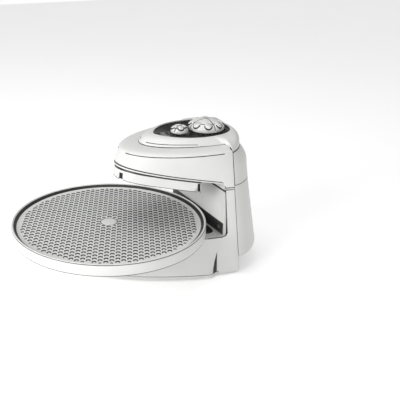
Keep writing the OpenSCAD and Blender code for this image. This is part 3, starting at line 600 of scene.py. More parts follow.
@dataclass(frozen=True)
class Finish:
    """A surface finish with grain, mottling and worn edges.

    Args:
        name: the material's name.
        colour: its colour, linear.
        rough: mean roughness.
        grain: features of the fine grain to the metre.
        depth: depth of that grain in millimetres.
        mottle: share by which the colour varies.
        metal: 1 for bare metal, otherwise 0.
        wear: colour of the worn edges, or None.
        stretch: scale of the grain along each axis, for brushed metal.
        coat: weight of a clear coat.
    """

    name: str
    colour: Colour
    rough: float
    grain: float = 1500.0
    depth: float = 0.03
    mottle: float = 0.03
    metal: float = 0.0
    wear: Colour | None = None
    stretch: tuple = (1, 1, 1)
    coat: float = 0.0

    def base(self) -> Graph:
        """The node graph with its uniform values set."""
        graph = Graph(self.name)
        graph.shader.inputs["Metallic"].default_value = self.metal
        graph.shader.inputs["Coat Weight"].default_value = self.coat
        graph.shader.inputs["Coat Roughness"].default_value = 0.12
        return graph

    def colouring(self, graph: Graph) -> Node:
        """Broad mottling, and lighter worn edges where the finish has them.

        Args:
            graph: the material's graph.

        Returns:
            The node of the colour.
        """
        broad = graph.spread(graph.noise(38.0, 4.0), 0.0, 1.0)
        colour = graph.blend(broad, shade(self.colour, 1 - self.mottle), shade(self.colour, 1 + self.mottle))
        if self.wear:
            edges = graph.spread(graph.add("ShaderNodeNewGeometry"), 0.0, 0.55, 0.53, 0.6, "Pointiness")
            colour = graph.blend(edges, colour, self.wear)
        return colour

    def build(self) -> Material:
        """Makes the material."""
        graph = self.base()
        normal = graph.bump(graph.noise(self.grain, 3.0, self.stretch), 0.5, self.depth)
        normal = graph.bump(graph.noise(90.0, 2.0), 0.35, 0.12, onto=normal)
        rough = graph.spread(graph.noise(240.0, 3.0, self.stretch), self.rough * 0.86, self.rough * 1.14)
        return graph.paint(self.colouring(graph), rough, normal)


@dataclass(frozen=True)
class BandedShadeFinish(Finish):
    """A finish with painted shade: a second colour inside bands of heights, for dark gaps and edges where
    shade falls.

    Args:
        bands: lowest and highest height of each band at the hub's axis, in millimetres.
        inside: the colour of the painted shade in the bands.
        fall: how much the bands fall for each millimetre towards the tower.
    """

    bands: tuple = ((0.0, 1.0),)
    inside: Colour = (0.02, 0.02, 0.02)
    fall: float = 0.0

    def colouring(self, graph: Graph) -> Node:
        """The base colour with the bands of painted shade over it.

        Args:
            graph: the material's graph.

        Returns:
            The node of the colour.
        """
        colour = super().colouring(graph)
        _, y, z = graph.place()
        level = graph.math("MULTIPLY_ADD", y, self.fall, z)
        for low, high in self.bands:
            inside = graph.math("COMPARE", level, (low + high) / 2, (high - low) / 2)
            colour = graph.blend(inside.node, colour, self.inside, out=0)
        return colour


@dataclass(frozen=True)
class FootShadowFinish(Finish):
    """The housing's finish with painted shadow: the end face of the foot's flare is painted black as shade.

    Args:
        back: distance from the hub at which the face ends.
        run: its length at the foot.
        height: height at which it runs out.
    """

    back: float = 153.0
    run: float = 12.0
    height: float = 45.0

    def colouring(self, graph: Graph) -> Node:
        """The base colour with the wedge of painted shadow over it.

        Args:
            graph: the material's graph.

        Returns:
            The node of the colour.
        """
        plain = super().colouring(graph)
        _, y, z = graph.place()
        ahead = graph.math("MULTIPLY_ADD", z, -self.run / self.height, y)
        inside = graph.math("MULTIPLY", graph.math("GREATER_THAN", ahead, self.back - self.run),
                            graph.math("LESS_THAN", y, self.back))
        wedge = graph.math("MULTIPLY", inside, graph.math("LESS_THAN", z, self.height))
        # painted shadow: black where the flare's end face lies in shade
        return graph.blend(wedge.node, plain, BLACK, out=0)


@dataclass(frozen=True)
class KnobShadeFinish(Finish):
    """A domed knob's finish, with painted shade: dark lines in its grooves and a dark crescent under each
    stud, where shade falls.

    Args:
        y: distance of the knob's axis from the hub.
        floor: height of its lower edge.
        radius: its radius.
        height: its height.
        side: height of its straight side.
        studs: number of studs.
        stud: radius of a stud.
        share: distance of a stud from the axis, as a share of the radius.
        turn: the knob's turn in degrees.
        ring: radius of the ring groove, as a share of the knob's.
        groove: half the width of a groove's line.
        line: half the width of a crescent.
        cut: how far the crescent lies inside the stud's foot.
        reach: how far it runs up the stud's sides, as a share of the stud's radius.
        dark: colour of the painted shade.
    """

    y: float = 0.0
    floor: float = 226.9
    radius: float = 30.0
    height: float = 17.5
    side: float = 4.0
    studs: int = 8
    stud: float = 6.5
    share: float = 0.86
    turn: float = 0.0
    ring: float = 0.75
    groove: float = 0.7
    line: float = 0.75
    cut: float = 0.4
    reach: float = 0.15
    dark: Colour = (0.04, 0.04, 0.04)

    def colouring(self, graph: Graph) -> Node:
        """The base colour with the painted shade of the grooves and crescents over it.

        Args:
            graph: the material's graph.

        Returns:
            The node of the colour.
        """
        plain = super().colouring(graph)
        calc = graph.math
        x, y, z = graph.place((0, self.y, self.floor))
        rho = graph.length(x, y)
        angle = calc("SUBTRACT", calc("ARCTAN2", y, x), math.radians(self.turn))
        # Distances from the middle of the nearest stud, in the dome's slope there.
        half = TAU / self.studs / 2
        near = calc("WRAP", calc("SUBTRACT", angle, half), half, -half)
        rise = self.height - self.side
        drop = math.sqrt(1 - self.share**2)
        lean = math.atan(rise / self.radius * self.share / drop)
        out = calc("SUBTRACT", calc("MULTIPLY", rho, calc("COSINE", near)), self.share * self.radius)
        across = calc("MULTIPLY", rho, calc("SINE", near))
        sunk = calc("MULTIPLY", calc("SUBTRACT", z, self.side + rise * drop), math.sin(lean))
        down = calc("SUBTRACT", calc("MULTIPLY", out, math.cos(lean)), sunk)
        far = graph.length(down, across)
        # painted shade: a dark crescent on the lower side wall of each stud, where shade falls
        crescent = calc("MULTIPLY", calc("COMPARE", far, self.stud - self.cut, self.line),
                        calc("GREATER_THAN", down, -self.reach * self.stud))
        # painted shade: the cross and ring grooves are darkened where shade falls in them
        quarter = calc("WRAP", angle, TAU / 8, -TAU / 8)
        spoke = calc("COMPARE", calc("MULTIPLY", rho, calc("SINE", quarter)), 0.0, self.groove)
        ring = calc("COMPARE", rho, self.ring * self.radius, self.groove)
        lines = calc("MULTIPLY", calc("MAXIMUM", spoke, ring), calc("GREATER_THAN", far, self.stud))
        marks = calc("MULTIPLY", calc("MAXIMUM", lines, crescent), calc("GREATER_THAN", z, self.side))
        return graph.blend(marks.node, plain, self.dark, out=0)


WHITE: Colour = (0.80, 0.80, 0.785)
KNOB_WHITE: Colour = (0.82, 0.82, 0.805)
BLACK: Colour = (0.012, 0.012, 0.013)
STEEL: Colour = (0.55, 0.55, 0.56)
TIMER_Y, SELECTOR_Y = 177.5, 127.0


class Finishes:
    """Every material of the oven, by name; most have the name of a material slot of the record."""

    def __init__(self) -> None:
        """Makes the materials."""
        steel = dict(metal=1.0, depth=0.02, mottle=0.06)
        shell = dict(rough=0.36, grain=1700, depth=0.025, mottle=0.012, wear=(0.86, 0.86, 0.85))
        knob = dict(rough=0.3, grain=1900, depth=0.02, mottle=0.012, wear=(0.88, 0.88, 0.87))
        self.made = {f.name: f.build() for f in (
            Finish("housing_white", WHITE, **shell),
            # white housing with the flare's end face painted black as shadow
            FootShadowFinish("foot_white", WHITE, **shell),
            Finish("inner_white", (0.74, 0.74, 0.72), 0.45, 1300, 0.03, 0.03, wear=(0.82, 0.82, 0.80)),
            Finish("panel_black", BLACK, 0.22, 2400, 0.02, 0.3, coat=0.3),
            Finish("shield_black", (0.014, 0.014, 0.015), 0.5, 2100, 0.04, 0.35, wear=(0.05, 0.05, 0.05)),
            Finish("fastener_steel", STEEL, 0.3, 900, wear=(0.75, 0.75, 0.75), **steel),
            Finish("foot_rubber", (0.025, 0.025, 0.026), 0.8, 1800, 0.06, 0.3),
            Finish("sheet_steel", (0.5, 0.5, 0.51), 0.36, 260, stretch=(1, 12, 1), **steel),
            Finish("gland_plastic", (0.02, 0.02, 0.021), 0.45, 1500, 0.04, 0.3),
            Finish("heater_rod", (0.11, 0.10, 0.095), 0.55, 700, 0.05, 0.25, 0.7, (0.2, 0.19, 0.18)),
            Finish("ceramic", (0.78, 0.75, 0.68), 0.6, 1500, 0.05, 0.05),
            Finish("hub_plastic", WHITE, 0.4, 1500, 0.03, 0.02),
            Finish("shaft_steel", (0.6, 0.6, 0.61), 0.22, 500, stretch=(1, 1, 20), **steel),
            Finish("works_metal", (0.42, 0.42, 0.43), 0.4, 420, wear=(0.6, 0.6, 0.6), **steel),
            Finish("bell_steel", (0.62, 0.62, 0.63), 0.2, 380, **steel),
            # knob finishes with painted shade in their grooves and under their studs
            KnobShadeFinish("timer_white", KNOB_WHITE, y=TIMER_Y, **knob),
            KnobShadeFinish("selector_white", KNOB_WHITE, y=SELECTOR_Y, radius=14.5, height=11.0, side=3.0,
                       studs=4, stud=5.5, share=0.66, turn=-60.0, **knob),
            Finish("switch_plastic", (0.62, 0.60, 0.52), 0.5, 1300, 0.04, 0.06),
            Finish("wire_sleeve", (0.70, 0.67, 0.58), 0.85, 1100, 0.2, 0.08, stretch=(1, 1, 2.5)),
            Finish("pan_coat", WHITE, 0.34, 1500, 0.03, 0.015, wear=(0.86, 0.86, 0.85)),
            # black for the pan's painted shade
            Finish("pan_black", (0.014, 0.014, 0.014), 0.4, 1500, 0.03, 0.3),
            Finish("print_white", (0.62, 0.62, 0.6), 0.55, 1500, 0.01, 0.08),
            # painted shade on the guard: a dark band under the head's lip and one along the guard's lower
            # edge
            BandedShadeFinish("guard_enamel", WHITE, 0.34, 1500, 0.03, 0.02, fall=0.17,
                         bands=((183.8, 192.0), (160.0, 169.1))),
            # near-black painted shade for the guard's inside, the strip behind its slots and the deck's tray
            Finish("heat_tint", (0.03, 0.03, 0.032), 0.6, 500, 0.04, 0.3, metal=0.4),
            Finish("seam_shadow", (0.03, 0.03, 0.03), 0.7, 1200, 0.03, 0.3),
            # painted shadow: a dark band in the throat liner's groove under the head
            BandedShadeFinish("liner_white", (0.78, 0.78, 0.765), 0.42, 1300, 0.03, 0.02, bands=((145.4, 148.6),)),
        )}

    def get(self, name: str) -> Material:
        """The material of that name."""
        return self.made[name]


def put(obj: Object, body: Body, material: Material,
        nodes: Sequence[str] = ()) -> Object:
    """Dresses a piece, sets it on its body and hides the CAD nodes that it stands for.

    Args:
        obj: the piece.
        body: the body that it rides on.
        material: its material.
        nodes: the CAD nodes that it replaces.

    Returns:
        The piece.
    """
    if not obj.data.materials:
        obj.data.materials.append(material)
    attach(obj, body.value)
    if nodes:
        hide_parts(*nodes)
    LOG.info("%s: %d faces on %s", obj.name, len(obj.data.polygons), body.value)
    return obj


def softened(node: str, name: str, angle: float) -> Object:
    """A copy of a CAD node with its triangles joined and its curves shaded smooth.

    Args:
        node: the CAD node.
        name: the new piece's name.
        angle: angle in degrees above which an edge stays sharp.

    Returns:
        The new object.
    """
    mesh = frame["nodes"][node].data.copy()
    mesh.materials.clear()
    with editing(mesh) as bm:
        bmesh.ops.remove_doubles(bm, verts=bm.verts, dist=0.002 * MM)
    return finish_mesh(add_object(name, mesh), angle)


class Scatter(Nodes):
    """A Geometry Nodes tree that sets a shape on points, with named inputs."""

    def __init__(self, name: str, inputs: dict[str, str], material: Material) -> None:
        """Makes the tree's inputs and the nodes that end it.

        Args:
            name: its name.
            inputs: the kind of each input, by name.
            material: the material of the result.
        """
        super().__init__(bpy.data.node_groups.new(name, "GeometryNodeTree"))
        face = self.tree.interface
        for way in ("OUTPUT", "INPUT"):
            face.new_socket("Geometry", in_out=way, socket_type="NodeSocketGeometry")
        self.keys = {
            label: face.new_socket(label, in_out="INPUT", socket_type="NodeSocket" + kind).identifier
            for label, kind in inputs.items()
        }
        self.start = self.add("NodeGroupInput")
        self.points = self.add("GeometryNodeInstanceOnPoints")
        chain = [
            self.points,
            self.add("GeometryNodeRealizeInstances"),
            self.add("GeometryNodeMergeByDistance", {"Distance": 0.05 * MM}),
            self.add("GeometryNodeSetMaterial", {"Material": material}),
            self.add("NodeGroupOutput"),
        ]
        for before, after in zip(chain, chain[1:]):
            self.join(before, 0, after, 0)

    def feed(self, *links: tuple) -> None:
        """Links inputs of the tree, each given as its name, a node and a socket of that node."""
        for label, node, socket in links:
            self.join(self.start, label, node, socket)

    def apply(self, holder: Object, values: dict[str, float]) -> None:
        """Runs the tree on an object and leaves a plain mesh.

        Args:
            holder: the object.
            values: the value of each input, by name.
        """
        modifier = holder.modifiers.new("scatter", "NODES")
        modifier.node_group = self.tree
        for label, value in values.items():
            modifier[self.keys[label]] = value
        plain_mesh(holder)


# ---------------------------------------------------------------- housing
@dataclass(frozen=True)
class Outlines:
    """The oven's main sizes and the outlines that its shells follow, as in the part's source.

    Each form of a half outline holds three numbers: how far it runs straight across at its tip, how far
    straight on into its corner, and its turn there in degrees.
    """

    tower_w: float = 186.0
    throat_y: float = 166.0
    seam_z: float = 150.5
    seam_step: float = 6.0
    tower_depth: float = 78.0
    side_draft: float = 0.06
    rear_draft: float = 0.2
    rear_lift: float = 30.0
    corner_back: float = 14.5
    corner_draft: float = 1.55
    deck_z: float = 69.0
    base_nose: float = 29.0
    nose_draft: float = 0.03
    flare_h: float = 45.0
    base_flare: float = 12.0
    plate_z: float = 2.5
    plate_rim: float = 5.5
    head_nose: float = 12.5
    head_lip_z: float = 186.0
    head_tilt: float = 0.17
    crease_in: float = 9.5
    crease_z: float = 209.0
    bezel_in: float = 43.5
    bezel_z: float = 216.0
    bezel_rise: float = 4.0
    rear_top_z: float = 212.0
    panel_in: float = 24.5
    panel_z: float = 230.0
    panel_w: float = 102.0
    panel_gap: float = 9.5
    wall: float = 2.4
    bezel_t: float = 2.2
    gap: float = 0.3
    corner_gap: float = 0.6
    mouth_corner: float = 8.0
    lip_corner: float = 5.0
    mouth_lean: float = 0.07
    flare_nose: float = 0.4
    flare_run: float = 12.0
    flare_curve: float = 1.6
    guard_end: float = 131.5
    shoulder_in: float = 21.0
    shoulder_h: float = 25.0
    drop_from: float = 1.04
    drop_to: float = 1.2
    lean_from: float = 130.0
    lean_fade: float = 30.0
    base_form: tuple = (32, 110, 4)
    lip_form: tuple = (61, 32, 15)
    crease_form: tuple = (51, 76, 0)
    bezel_form: tuple = (30, 70, 6.6)

    @property
    def mouth_y(self) -> float:
        """Distance of the mouth's upright edge from the hub."""
        return self.throat_y - 1

    @property
    def rear_y(self) -> float:
        """Distance of the tower's back from the hub, at the seam."""
        return self.throat_y + self.tower_depth

    @property
    def flare_end(self) -> float:
        """Distance from the hub at which the base's flare ends."""
        return self.mouth_y - 24

    def corner(self, z: float) -> np.ndarray:
        """The tower's corner line at height z, in plan."""
        rise = (self.seam_z - z) * self.side_draft
        back = self.throat_y + self.corner_back + rise * self.corner_draft
        return np.array([self.tower_w / 2 + rise, back])

    @staticmethod
    def front(tip: float, end: Point, form: tuple) -> Curve:
        """A half outline from the tip on the centreline to the corner line.

        Args:
            tip: distance of the tip from the hub.
            end: the outline's end in plan.
            form: its form.

        Returns:
            The outline.
        """
        bulge, tail, turn = form
        a = math.radians(turn)
        back = (end[0] - tail * math.sin(a), end[1] - tail * math.cos(a))
        return Curve(((0, tip), (bulge, tip), back, tuple(end)))

    def base(self, z: float) -> Curve:
        """Half outline of the base and tower at height z."""
        tip = -self.base_nose + self.nose_draft * (z - self.deck_z)
        return self.front(tip, self.corner(z), self.base_form)

    def rear(self, z: float, inset: float = 0.0) -> Curve:
        """Half outline of the rear covers, from the corner line to the centreline.

        Args:
            z: height.
            inset: how far its back is drawn in.

        Returns:
            The outline.
        """
        c = self.corner(z)
        back = self.rear_y + (self.seam_z - z) * self.rear_draft * (1 if z < self.seam_z else 2 / 3) - inset
        bend = (c[0] - 3, c[1] + (back - c[1]) * 0.42)
        return Curve(((c[0], c[1] + self.corner_gap), bend, (0.6 * c[0], back), (0, back)))

    def flare(self, y: float, z: float) -> float:
        """How far the base flares out.

        Args:
            y: distance from the hub.
            z: height.

        Returns:
            The distance outwards.
        """
        along = clamp((y + self.base_nose) / (self.flare_end + self.base_nose))
        return (
            self.base_flare * (1 - min(z, self.flare_h) / self.flare_h) ** self.flare_curve
            * mix(self.flare_nose, 1, along) * clamp((self.flare_end + self.flare_run - y) / self.flare_run)
        )

    def base_point(self, y: float, u: float, z: float) -> np.ndarray:
        """A point of the base's outer face.

        Args:
            y: distance from the hub of the station, at the deck.
            u: the station's parameter on the outline at the deck.
            z: height.

        Returns:
            The point.
        """
        curve = self.base(z)
        lean = (self.seam_z - max(z, self.deck_z + self.mouth_corner)) * self.mouth_lean
        fade_from = self.lean_from - self.lean_fade
        if y >= fade_from and u < 1:
            edge = self.mouth_y + lean
            end = self.corner(self.deck_z)[1]
            near = clamp((y - self.lean_from) / (self.mouth_y - self.lean_from))
            rest = (y - self.mouth_y) / (end - self.mouth_y)
            target = y + lean * near if y <= self.mouth_y else mix(edge, self.corner(z)[1], rest)
            u = mix(u, curve.param_at(target), clamp((y - fade_from) / self.lean_fade))
        p = curve.at(u)
        return raised(p + curve.normal(u) * self.flare(p[1], z), z)

    @property
    def lip(self) -> Curve:
        """Half outline of the head's lower edge."""
        return self.front(self.head_nose, self.corner(self.seam_z), self.lip_form)

    def lip_z(self, y: float) -> float:
        """Height of the head's lower edge."""
        return self.head_lip_z - self.head_tilt * (y - self.head_nose)

    @property
    def rear_corner(self) -> np.ndarray:
        """The tower's corner at the rear covers' upper edge."""
        return self.corner(self.rear_top_z)

    @property
    def crease_tip(self) -> float:
        """Distance from the hub of the tip of the crease."""
        return self.head_nose + self.crease_in

    @property
    def crease(self) -> Curve:
        """Half outline of the crease round the head."""
        return self.front(self.crease_tip, self.rear_corner, self.crease_form)

    def crease_at(self, y: float) -> float:
        """Height of the crease."""
        share = (y - self.crease_tip) / (self.rear_corner[1] - self.crease_tip)
        return mix(self.crease_z, self.rear_top_z, share)

    @property
    def bezel_tip(self) -> float:
        """Distance from the hub of the tip of the seam under the bezel."""
        return self.head_nose + self.bezel_in

    @property
    def bezel_end(self) -> np.ndarray:
        """That seam's rear end in plan."""
        return self.rear_corner - (19, 0.8)

    @property
    def bezel(self) -> Curve:
        """Half outline of that seam."""
        return self.front(self.bezel_tip, self.bezel_end, self.bezel_form)

    def bezel_at(self, y: float) -> float:
        """Height of that seam."""
        return self.bezel_z + self.bezel_rise * (y - self.bezel_tip) / (self.bezel_end[1] - self.bezel_tip)

    def shoulder(self, u: float, t: float) -> np.ndarray:
        """A point of the shoulder between the crease and the bezel's seam.

        Args:
            u: parameter along both outlines.
            t: share of the way from the crease to the seam.

        Returns:
            The point.
        """
        c, b = self.crease.at(u), self.bezel.at(u)
        crease, top = raised(c, self.crease_at(c[1])), raised(b, self.bezel_at(b[1]))
        over = raised(mix(crease, top, 0.1), mix(crease[2], top[2], 0.85) + 0.6)
        return quad(crease, over, top, t)

    @property
    def rear_top(self) -> Curve:
        """Half outline of the rear cover's upper edge."""
        c, back = self.rear_corner, self.rear_y - self.shoulder_in
        bend = (c[0] - 14.4, c[1] + 25.8)
        return Curve(((c[0], c[1] + self.corner_gap), bend, (0.49 * c[0], back), (0, back)))

    @property
    def panel_tip(self) -> float:
        """Distance of the panel's tip from the hub."""
        return self.bezel_tip + self.panel_in

    @property
    def panel_end(self) -> float:
        """Distance of the panel's rear edge from the hub."""
        return self.rear_y - self.shoulder_in - self.panel_gap

    def tear(self, t: float, grow: float = 0.0) -> np.ndarray:
        """A point of the panel's half outline.

        Args:
            t: place along it, from its tip (0) over its widest place (1) to its rear end (2).
            grow: how far it lies outside the panel.

        Returns:
            The point in plan.
        """
        w, tip, end = self.panel_w / 2 + grow, self.panel_tip - grow, self.panel_end + grow
        length = self.panel_end - self.panel_tip
        wide = self.panel_tip + length * 0.56
        if t < 1:
            return Curve(((0, tip), (6 + grow, tip), (w, wide - length * 0.39), (w, wide))).at(t)
        return Curve(((w, wide), (w, wide + length * 0.28), (0.66 * w, end), (0, end))).at(t - 1)


# Sections of the bezel: at its front, before its notch, at the tower's corner and at the back.
SLOPE_FORM = np.array([0.16, 0.48, 0.5, 0.97])
NOTCH_FORM = np.array([0.4, 0.02, 0.6, 0.95])
CORNER_FORM = np.array([0.02, 0.5, 0.5, 0.95])
WALL_FORM = np.array([0.02, 0.75, 0.12, 1.05])


class Housing:
    """The white moulded shells: lower and upper housing, rear covers and top bezel."""

    rim = 0.75
    foot_corner = 4.0
    crease_depth = 0.35
    base_columns, base_rows = 70, 22
    mouth_columns, mouth_rows, tower_rows = 8, 7, 16
    head_columns, shoulder_rows = 80, 14
    rear_columns, rear_rows = 33, 18
    front_sections, corner_sections, back_sections = 49, 13, 31

    def __init__(self, outlines: Outlines, finishes: Finishes) -> None:
        """Keeps what the shells need.

        Args:
            outlines: the outlines that they follow.
            finishes: the oven's materials.
        """
        self.o = outlines
        self.white = finishes.get("housing_white")
        self.seam = finishes.get("seam_shadow")
        self.foot = finishes.get("foot_white")

    def build(self) -> None:
        """Makes every shell."""
        self.lower()
        self.upper()
        self.rear_lower()
        self.rear_upper()
        self.bezel()

    def shell(self, node: str, patches: list, wall: float, on_seam: Callable[[np.ndarray], bool],
              in_groove: Callable[[int, int], bool] | None = None, white: Material | None = None) -> None:
        """Makes a shell from its half and sets it in place of its node.

        Args:
            node: the CAD node that it replaces.
            patches: grids of points of its right half.
            wall: its thickness in millimetres.
            on_seam: whether a rim's face at a place borders another shell.
            in_groove: whether the face of a row and column lies in a groove.
            white: its material, where it isn't the housing's.
        """
        points, faces = mirrored(patches)
        shape = (len(patches[0]) - 1, len(patches[0][0]) - 1)
        shell = Shell(node + "_shell", points, faces, wall, self.rim, on_seam, shape, in_groove)
        put(shell.build(white or self.white, self.seam), Body.BASE, self.white, [node])

    def lower(self) -> None:
        """The lower housing: base, deck edge and the lower half of the tower's sides."""
        o = self.o
        deck = o.base(o.deck_z)
        r = o.mouth_corner
        start, end = o.mouth_y - r, o.corner(o.deck_z)[1]
        band_end = o.flare_end + o.flare_run
        edge = deck.param_at(start)
        columns, last = self.base_columns, self.mouth_columns - 1
        front = [deck.at(edge * i / columns)[1] for i in range(columns)]
        front = [y for y in front if abs(y - band_end) > 0.8] + [band_end - 0.3, band_end + 0.3]
        stations = sorted(front) + [mix(start, end, k / last) for k in range(last + 1)]

        def param(y: float) -> float:
            """The parameter of a station on the deck's outline."""
            return 0.0 if y <= stations[0] + 1e-6 else 1.0 if y >= end - 1e-6 else deck.param_at(y)

        def foot(y: float) -> float:
            """Height of the shell's lower edge, with a rounded rear corner.

            Args:
                y: distance of the station from the hub.

            Returns:
                The height.
            """
            if y <= band_end:
                return o.plate_z + o.plate_rim + o.gap
            turn = clamp((y - end + self.foot_corner) / self.foot_corner)
            return o.plate_z + self.foot_corner * (1 - math.sqrt(1 - turn * turn))

        low_patch = []
        for y in stations:
            heights = [*np.linspace(foot(y), o.deck_z - o.wall, self.base_rows), o.deck_z]
            low_patch.append([o.base_point(y, param(y), z) for z in heights])
        rises = [*np.linspace(0, r, self.mouth_rows)]
        rises += [*np.linspace(r + 4, o.seam_z - o.gap - o.deck_z, self.tower_rows)]
        tower_patch = []
        for k in range(last + 1):
            backs = [r - math.sqrt(max(r * r - max(r - rise, 0) ** 2, 0)) for rise in rises]
            places = [mix(o.mouth_y - back, end, k / last) for back in backs]
            tower_patch.append([o.base_point(y, param(y), o.deck_z + rise) for y, rise in zip(places, rises)])
        # the foot's material paints the flare's end face black as painted shadow
        self.shell("lower_housing", [low_patch, tower_patch], o.wall,
                   lambda p: p[1] > o.mouth_y - 30 or (p[2] < 12 and p[1] < band_end),
                   white=self.foot)

    def upper(self) -> None:
        """The upper housing: the head's wall with its lip bead, and the shoulder over it."""
        o = self.o
        lip = o.lip
        edge, corner = (lip.param_at(y) for y in (o.mouth_y, o.mouth_y - o.lip_corner))
        columns = self.head_columns
        params = [corner * i / columns for i in range(columns)] + [mix(corner, edge, k / 6) for k in range(7)]
        params += [mix(edge, 1, k / 4) for k in range(1, 5)]
        # The lip's groove: height over the lip, what it gains at the tip, and depth.
        groove = ((0.0, 0.0, 0.0), (2.1, 0.0, 0.0), (2.4, 0.0, 0.5), (3.1, 0.8, 0.5), (3.5, 0.8, 0.0))
        top, more_at_top = groove[-1][:2]
        rows = []
        for u in params:
            q = lip.at(u)
            y = q[1]
            turn = clamp((y - o.mouth_y + o.lip_corner) / o.lip_corner)
            rise = 1 - math.sqrt(1 - turn * turn)
            low = raised(q, o.seam_z if y >= o.mouth_y - 0.01 else mix(o.lip_z(y), o.seam_z, rise))
            crease = o.shoulder(u, 0)
            height = crease[2] - low[2]
            depth = clamp((o.guard_end + 3 - y) / 6)
            normal = raised(lip.normal(u), 0.0)
            wide = 1 - u
            row = [mix(low, crease, (d + more * wide) / height) - normal * inset * depth
                   for d, more, inset in groove]
            shares = np.linspace((top + more_at_top * wide) / height, 1 - 0.9 / height, 8)[1:]
            row += [mix(low, crease, f) for f in shares]
            row += [crease - normal * self.crease_depth * clamp((u - 0.07) / 0.02)]
            row += [o.shoulder(u, t) for t in np.linspace(0.04, 1, self.shoulder_rows)]
            rows.append(row)

        def in_groove(row: int, column: int) -> bool:
            """Whether a face lies in the lip's groove or the crease's, which take painted shadow."""
            return column in (1, 2, 3) or (column in (11, 12) and 0.085 < params[row] < 0.93)

        self.shell("upper_housing", [rows], o.wall,
                   lambda p: p[1] > o.mouth_y - 7 or p[2] > o.crease_z + 2, in_groove)

    def rear_lower(self) -> None:
        """The lower rear cover, with its edge turned in at the foot."""
        o, r = self.o, self.foot_corner
        edge_z, top = o.rear_lift + r, o.seam_z + o.seam_step - o.gap
        turns = [math.radians(a) for a in (25, 50, 75)]
        rows = []
        for u in np.linspace(0, 1, self.rear_columns):
            row = [raised(o.rear(o.rear_lift, inset).at(u), o.rear_lift) for inset in (28, 12, r)]
            row += [raised(o.rear(edge_z, r * (1 - math.sin(a))).at(u), o.rear_lift + r * (1 - math.cos(a)))
                    for a in turns]
            row += [raised(o.rear(z).at(u), z) for z in np.linspace(edge_z, top, self.rear_rows)]
            rows.append(row)
        self.shell("rear_cover_lower", [rows], o.wall, lambda p: p[2] > o.rear_lift + 3)

    def rear_upper(self) -> None:
        """The upper rear cover, with its shoulder under the bezel."""
        o = self.o
        turn_z = o.rear_top_z - o.shoulder_h
        knee_z = turn_z + o.shoulder_h * 0.45
        rows = []
        for u in np.linspace(0, 1, self.rear_columns):
            row = [raised(o.rear(z).at(u), z) for z in np.linspace(o.seam_z + o.seam_step, turn_z, 8)[:-1]]
            a, b = raised(o.rear(turn_z).at(u), turn_z), raised(o.rear(knee_z, 1).at(u), knee_z)
            c = raised(o.rear_top.at(u), o.rear_top_z - o.gap)
            rows.append(row + [quad(a, b, c, t) for t in np.linspace(0, 1, self.shoulder_rows)])
        self.shell("rear_cover_upper", [rows], o.wall, lambda p: True)

    def bezel(self) -> None:
        """The bezel between the head's shoulder and the control panel."""
        o = self.o
        steps = [0.0, 0.04, 0.12, 0.2, 0.215, 0.24, 0.255, *np.linspace(0.34, 1, 10)]
        sunk = (4, 5)

        def profile(outer: np.ndarray, t: float, form: np.ndarray) -> list:
            """One section of the bezel, with its fine crease.

            Args:
                outer: its outer end.
                t: place of its inner end along the panel's edge.
                form: its shape, as the shares across and up of two control points.

            Returns:
                The section's points.
            """
            inner = raised(o.tear(t, o.gap), o.panel_z)
            rise = inner[2] - outer[2]
            b, c = (raised(mix(outer, inner, form[k]), outer[2] + form[k + 1] * rise) for k in (0, 2))
            points = [Curve((outer, b, c, inner)).at(s) for s in steps]
            for k in sunk:
                points[k][2] -= self.crease_depth * clamp((t - 0.1) / 0.1) * clamp((0.8 - t) / 0.1)
            return points + [raised(inner, inner[2] - 1.2)]

        rows = []
        for t in np.linspace(0, 1, self.front_sections):
            q = o.bezel.at(t)
            form = mix(SLOPE_FORM, NOTCH_FORM, ease(clamp(2.5 * t - 1.5)))
            rows.append(profile(raised(q, o.bezel_at(q[1]) + o.gap), t * o.drop_from, form))
        for k in np.linspace(0, 1, self.corner_sections)[1:]:
            outer = o.shoulder(1, 1 - k) + np.array([0, o.corner_gap * k, o.gap])
            rows.append(profile(outer, mix(o.drop_from, o.drop_to, k), mix(NOTCH_FORM, CORNER_FORM, k * k)))
        for t in np.linspace(0, 1, self.back_sections)[1:]:
            form = mix(CORNER_FORM, WALL_FORM, ease(min(1, 2.5 * t)))
            rows.append(profile(raised(o.rear_top.at(t), o.rear_top_z), mix(o.drop_to, 2, t), form))

        def in_groove(row: int, column: int) -> bool:
            """Whether a face lies at the seam or in the crease, which take painted shadow."""
            return column == 0 or (column in (3, 4, 5) and 5 < row < 37)

        self.shell("top_bezel", [rows], o.bezel_t, lambda p: p[2] < o.panel_z - 6, in_groove)


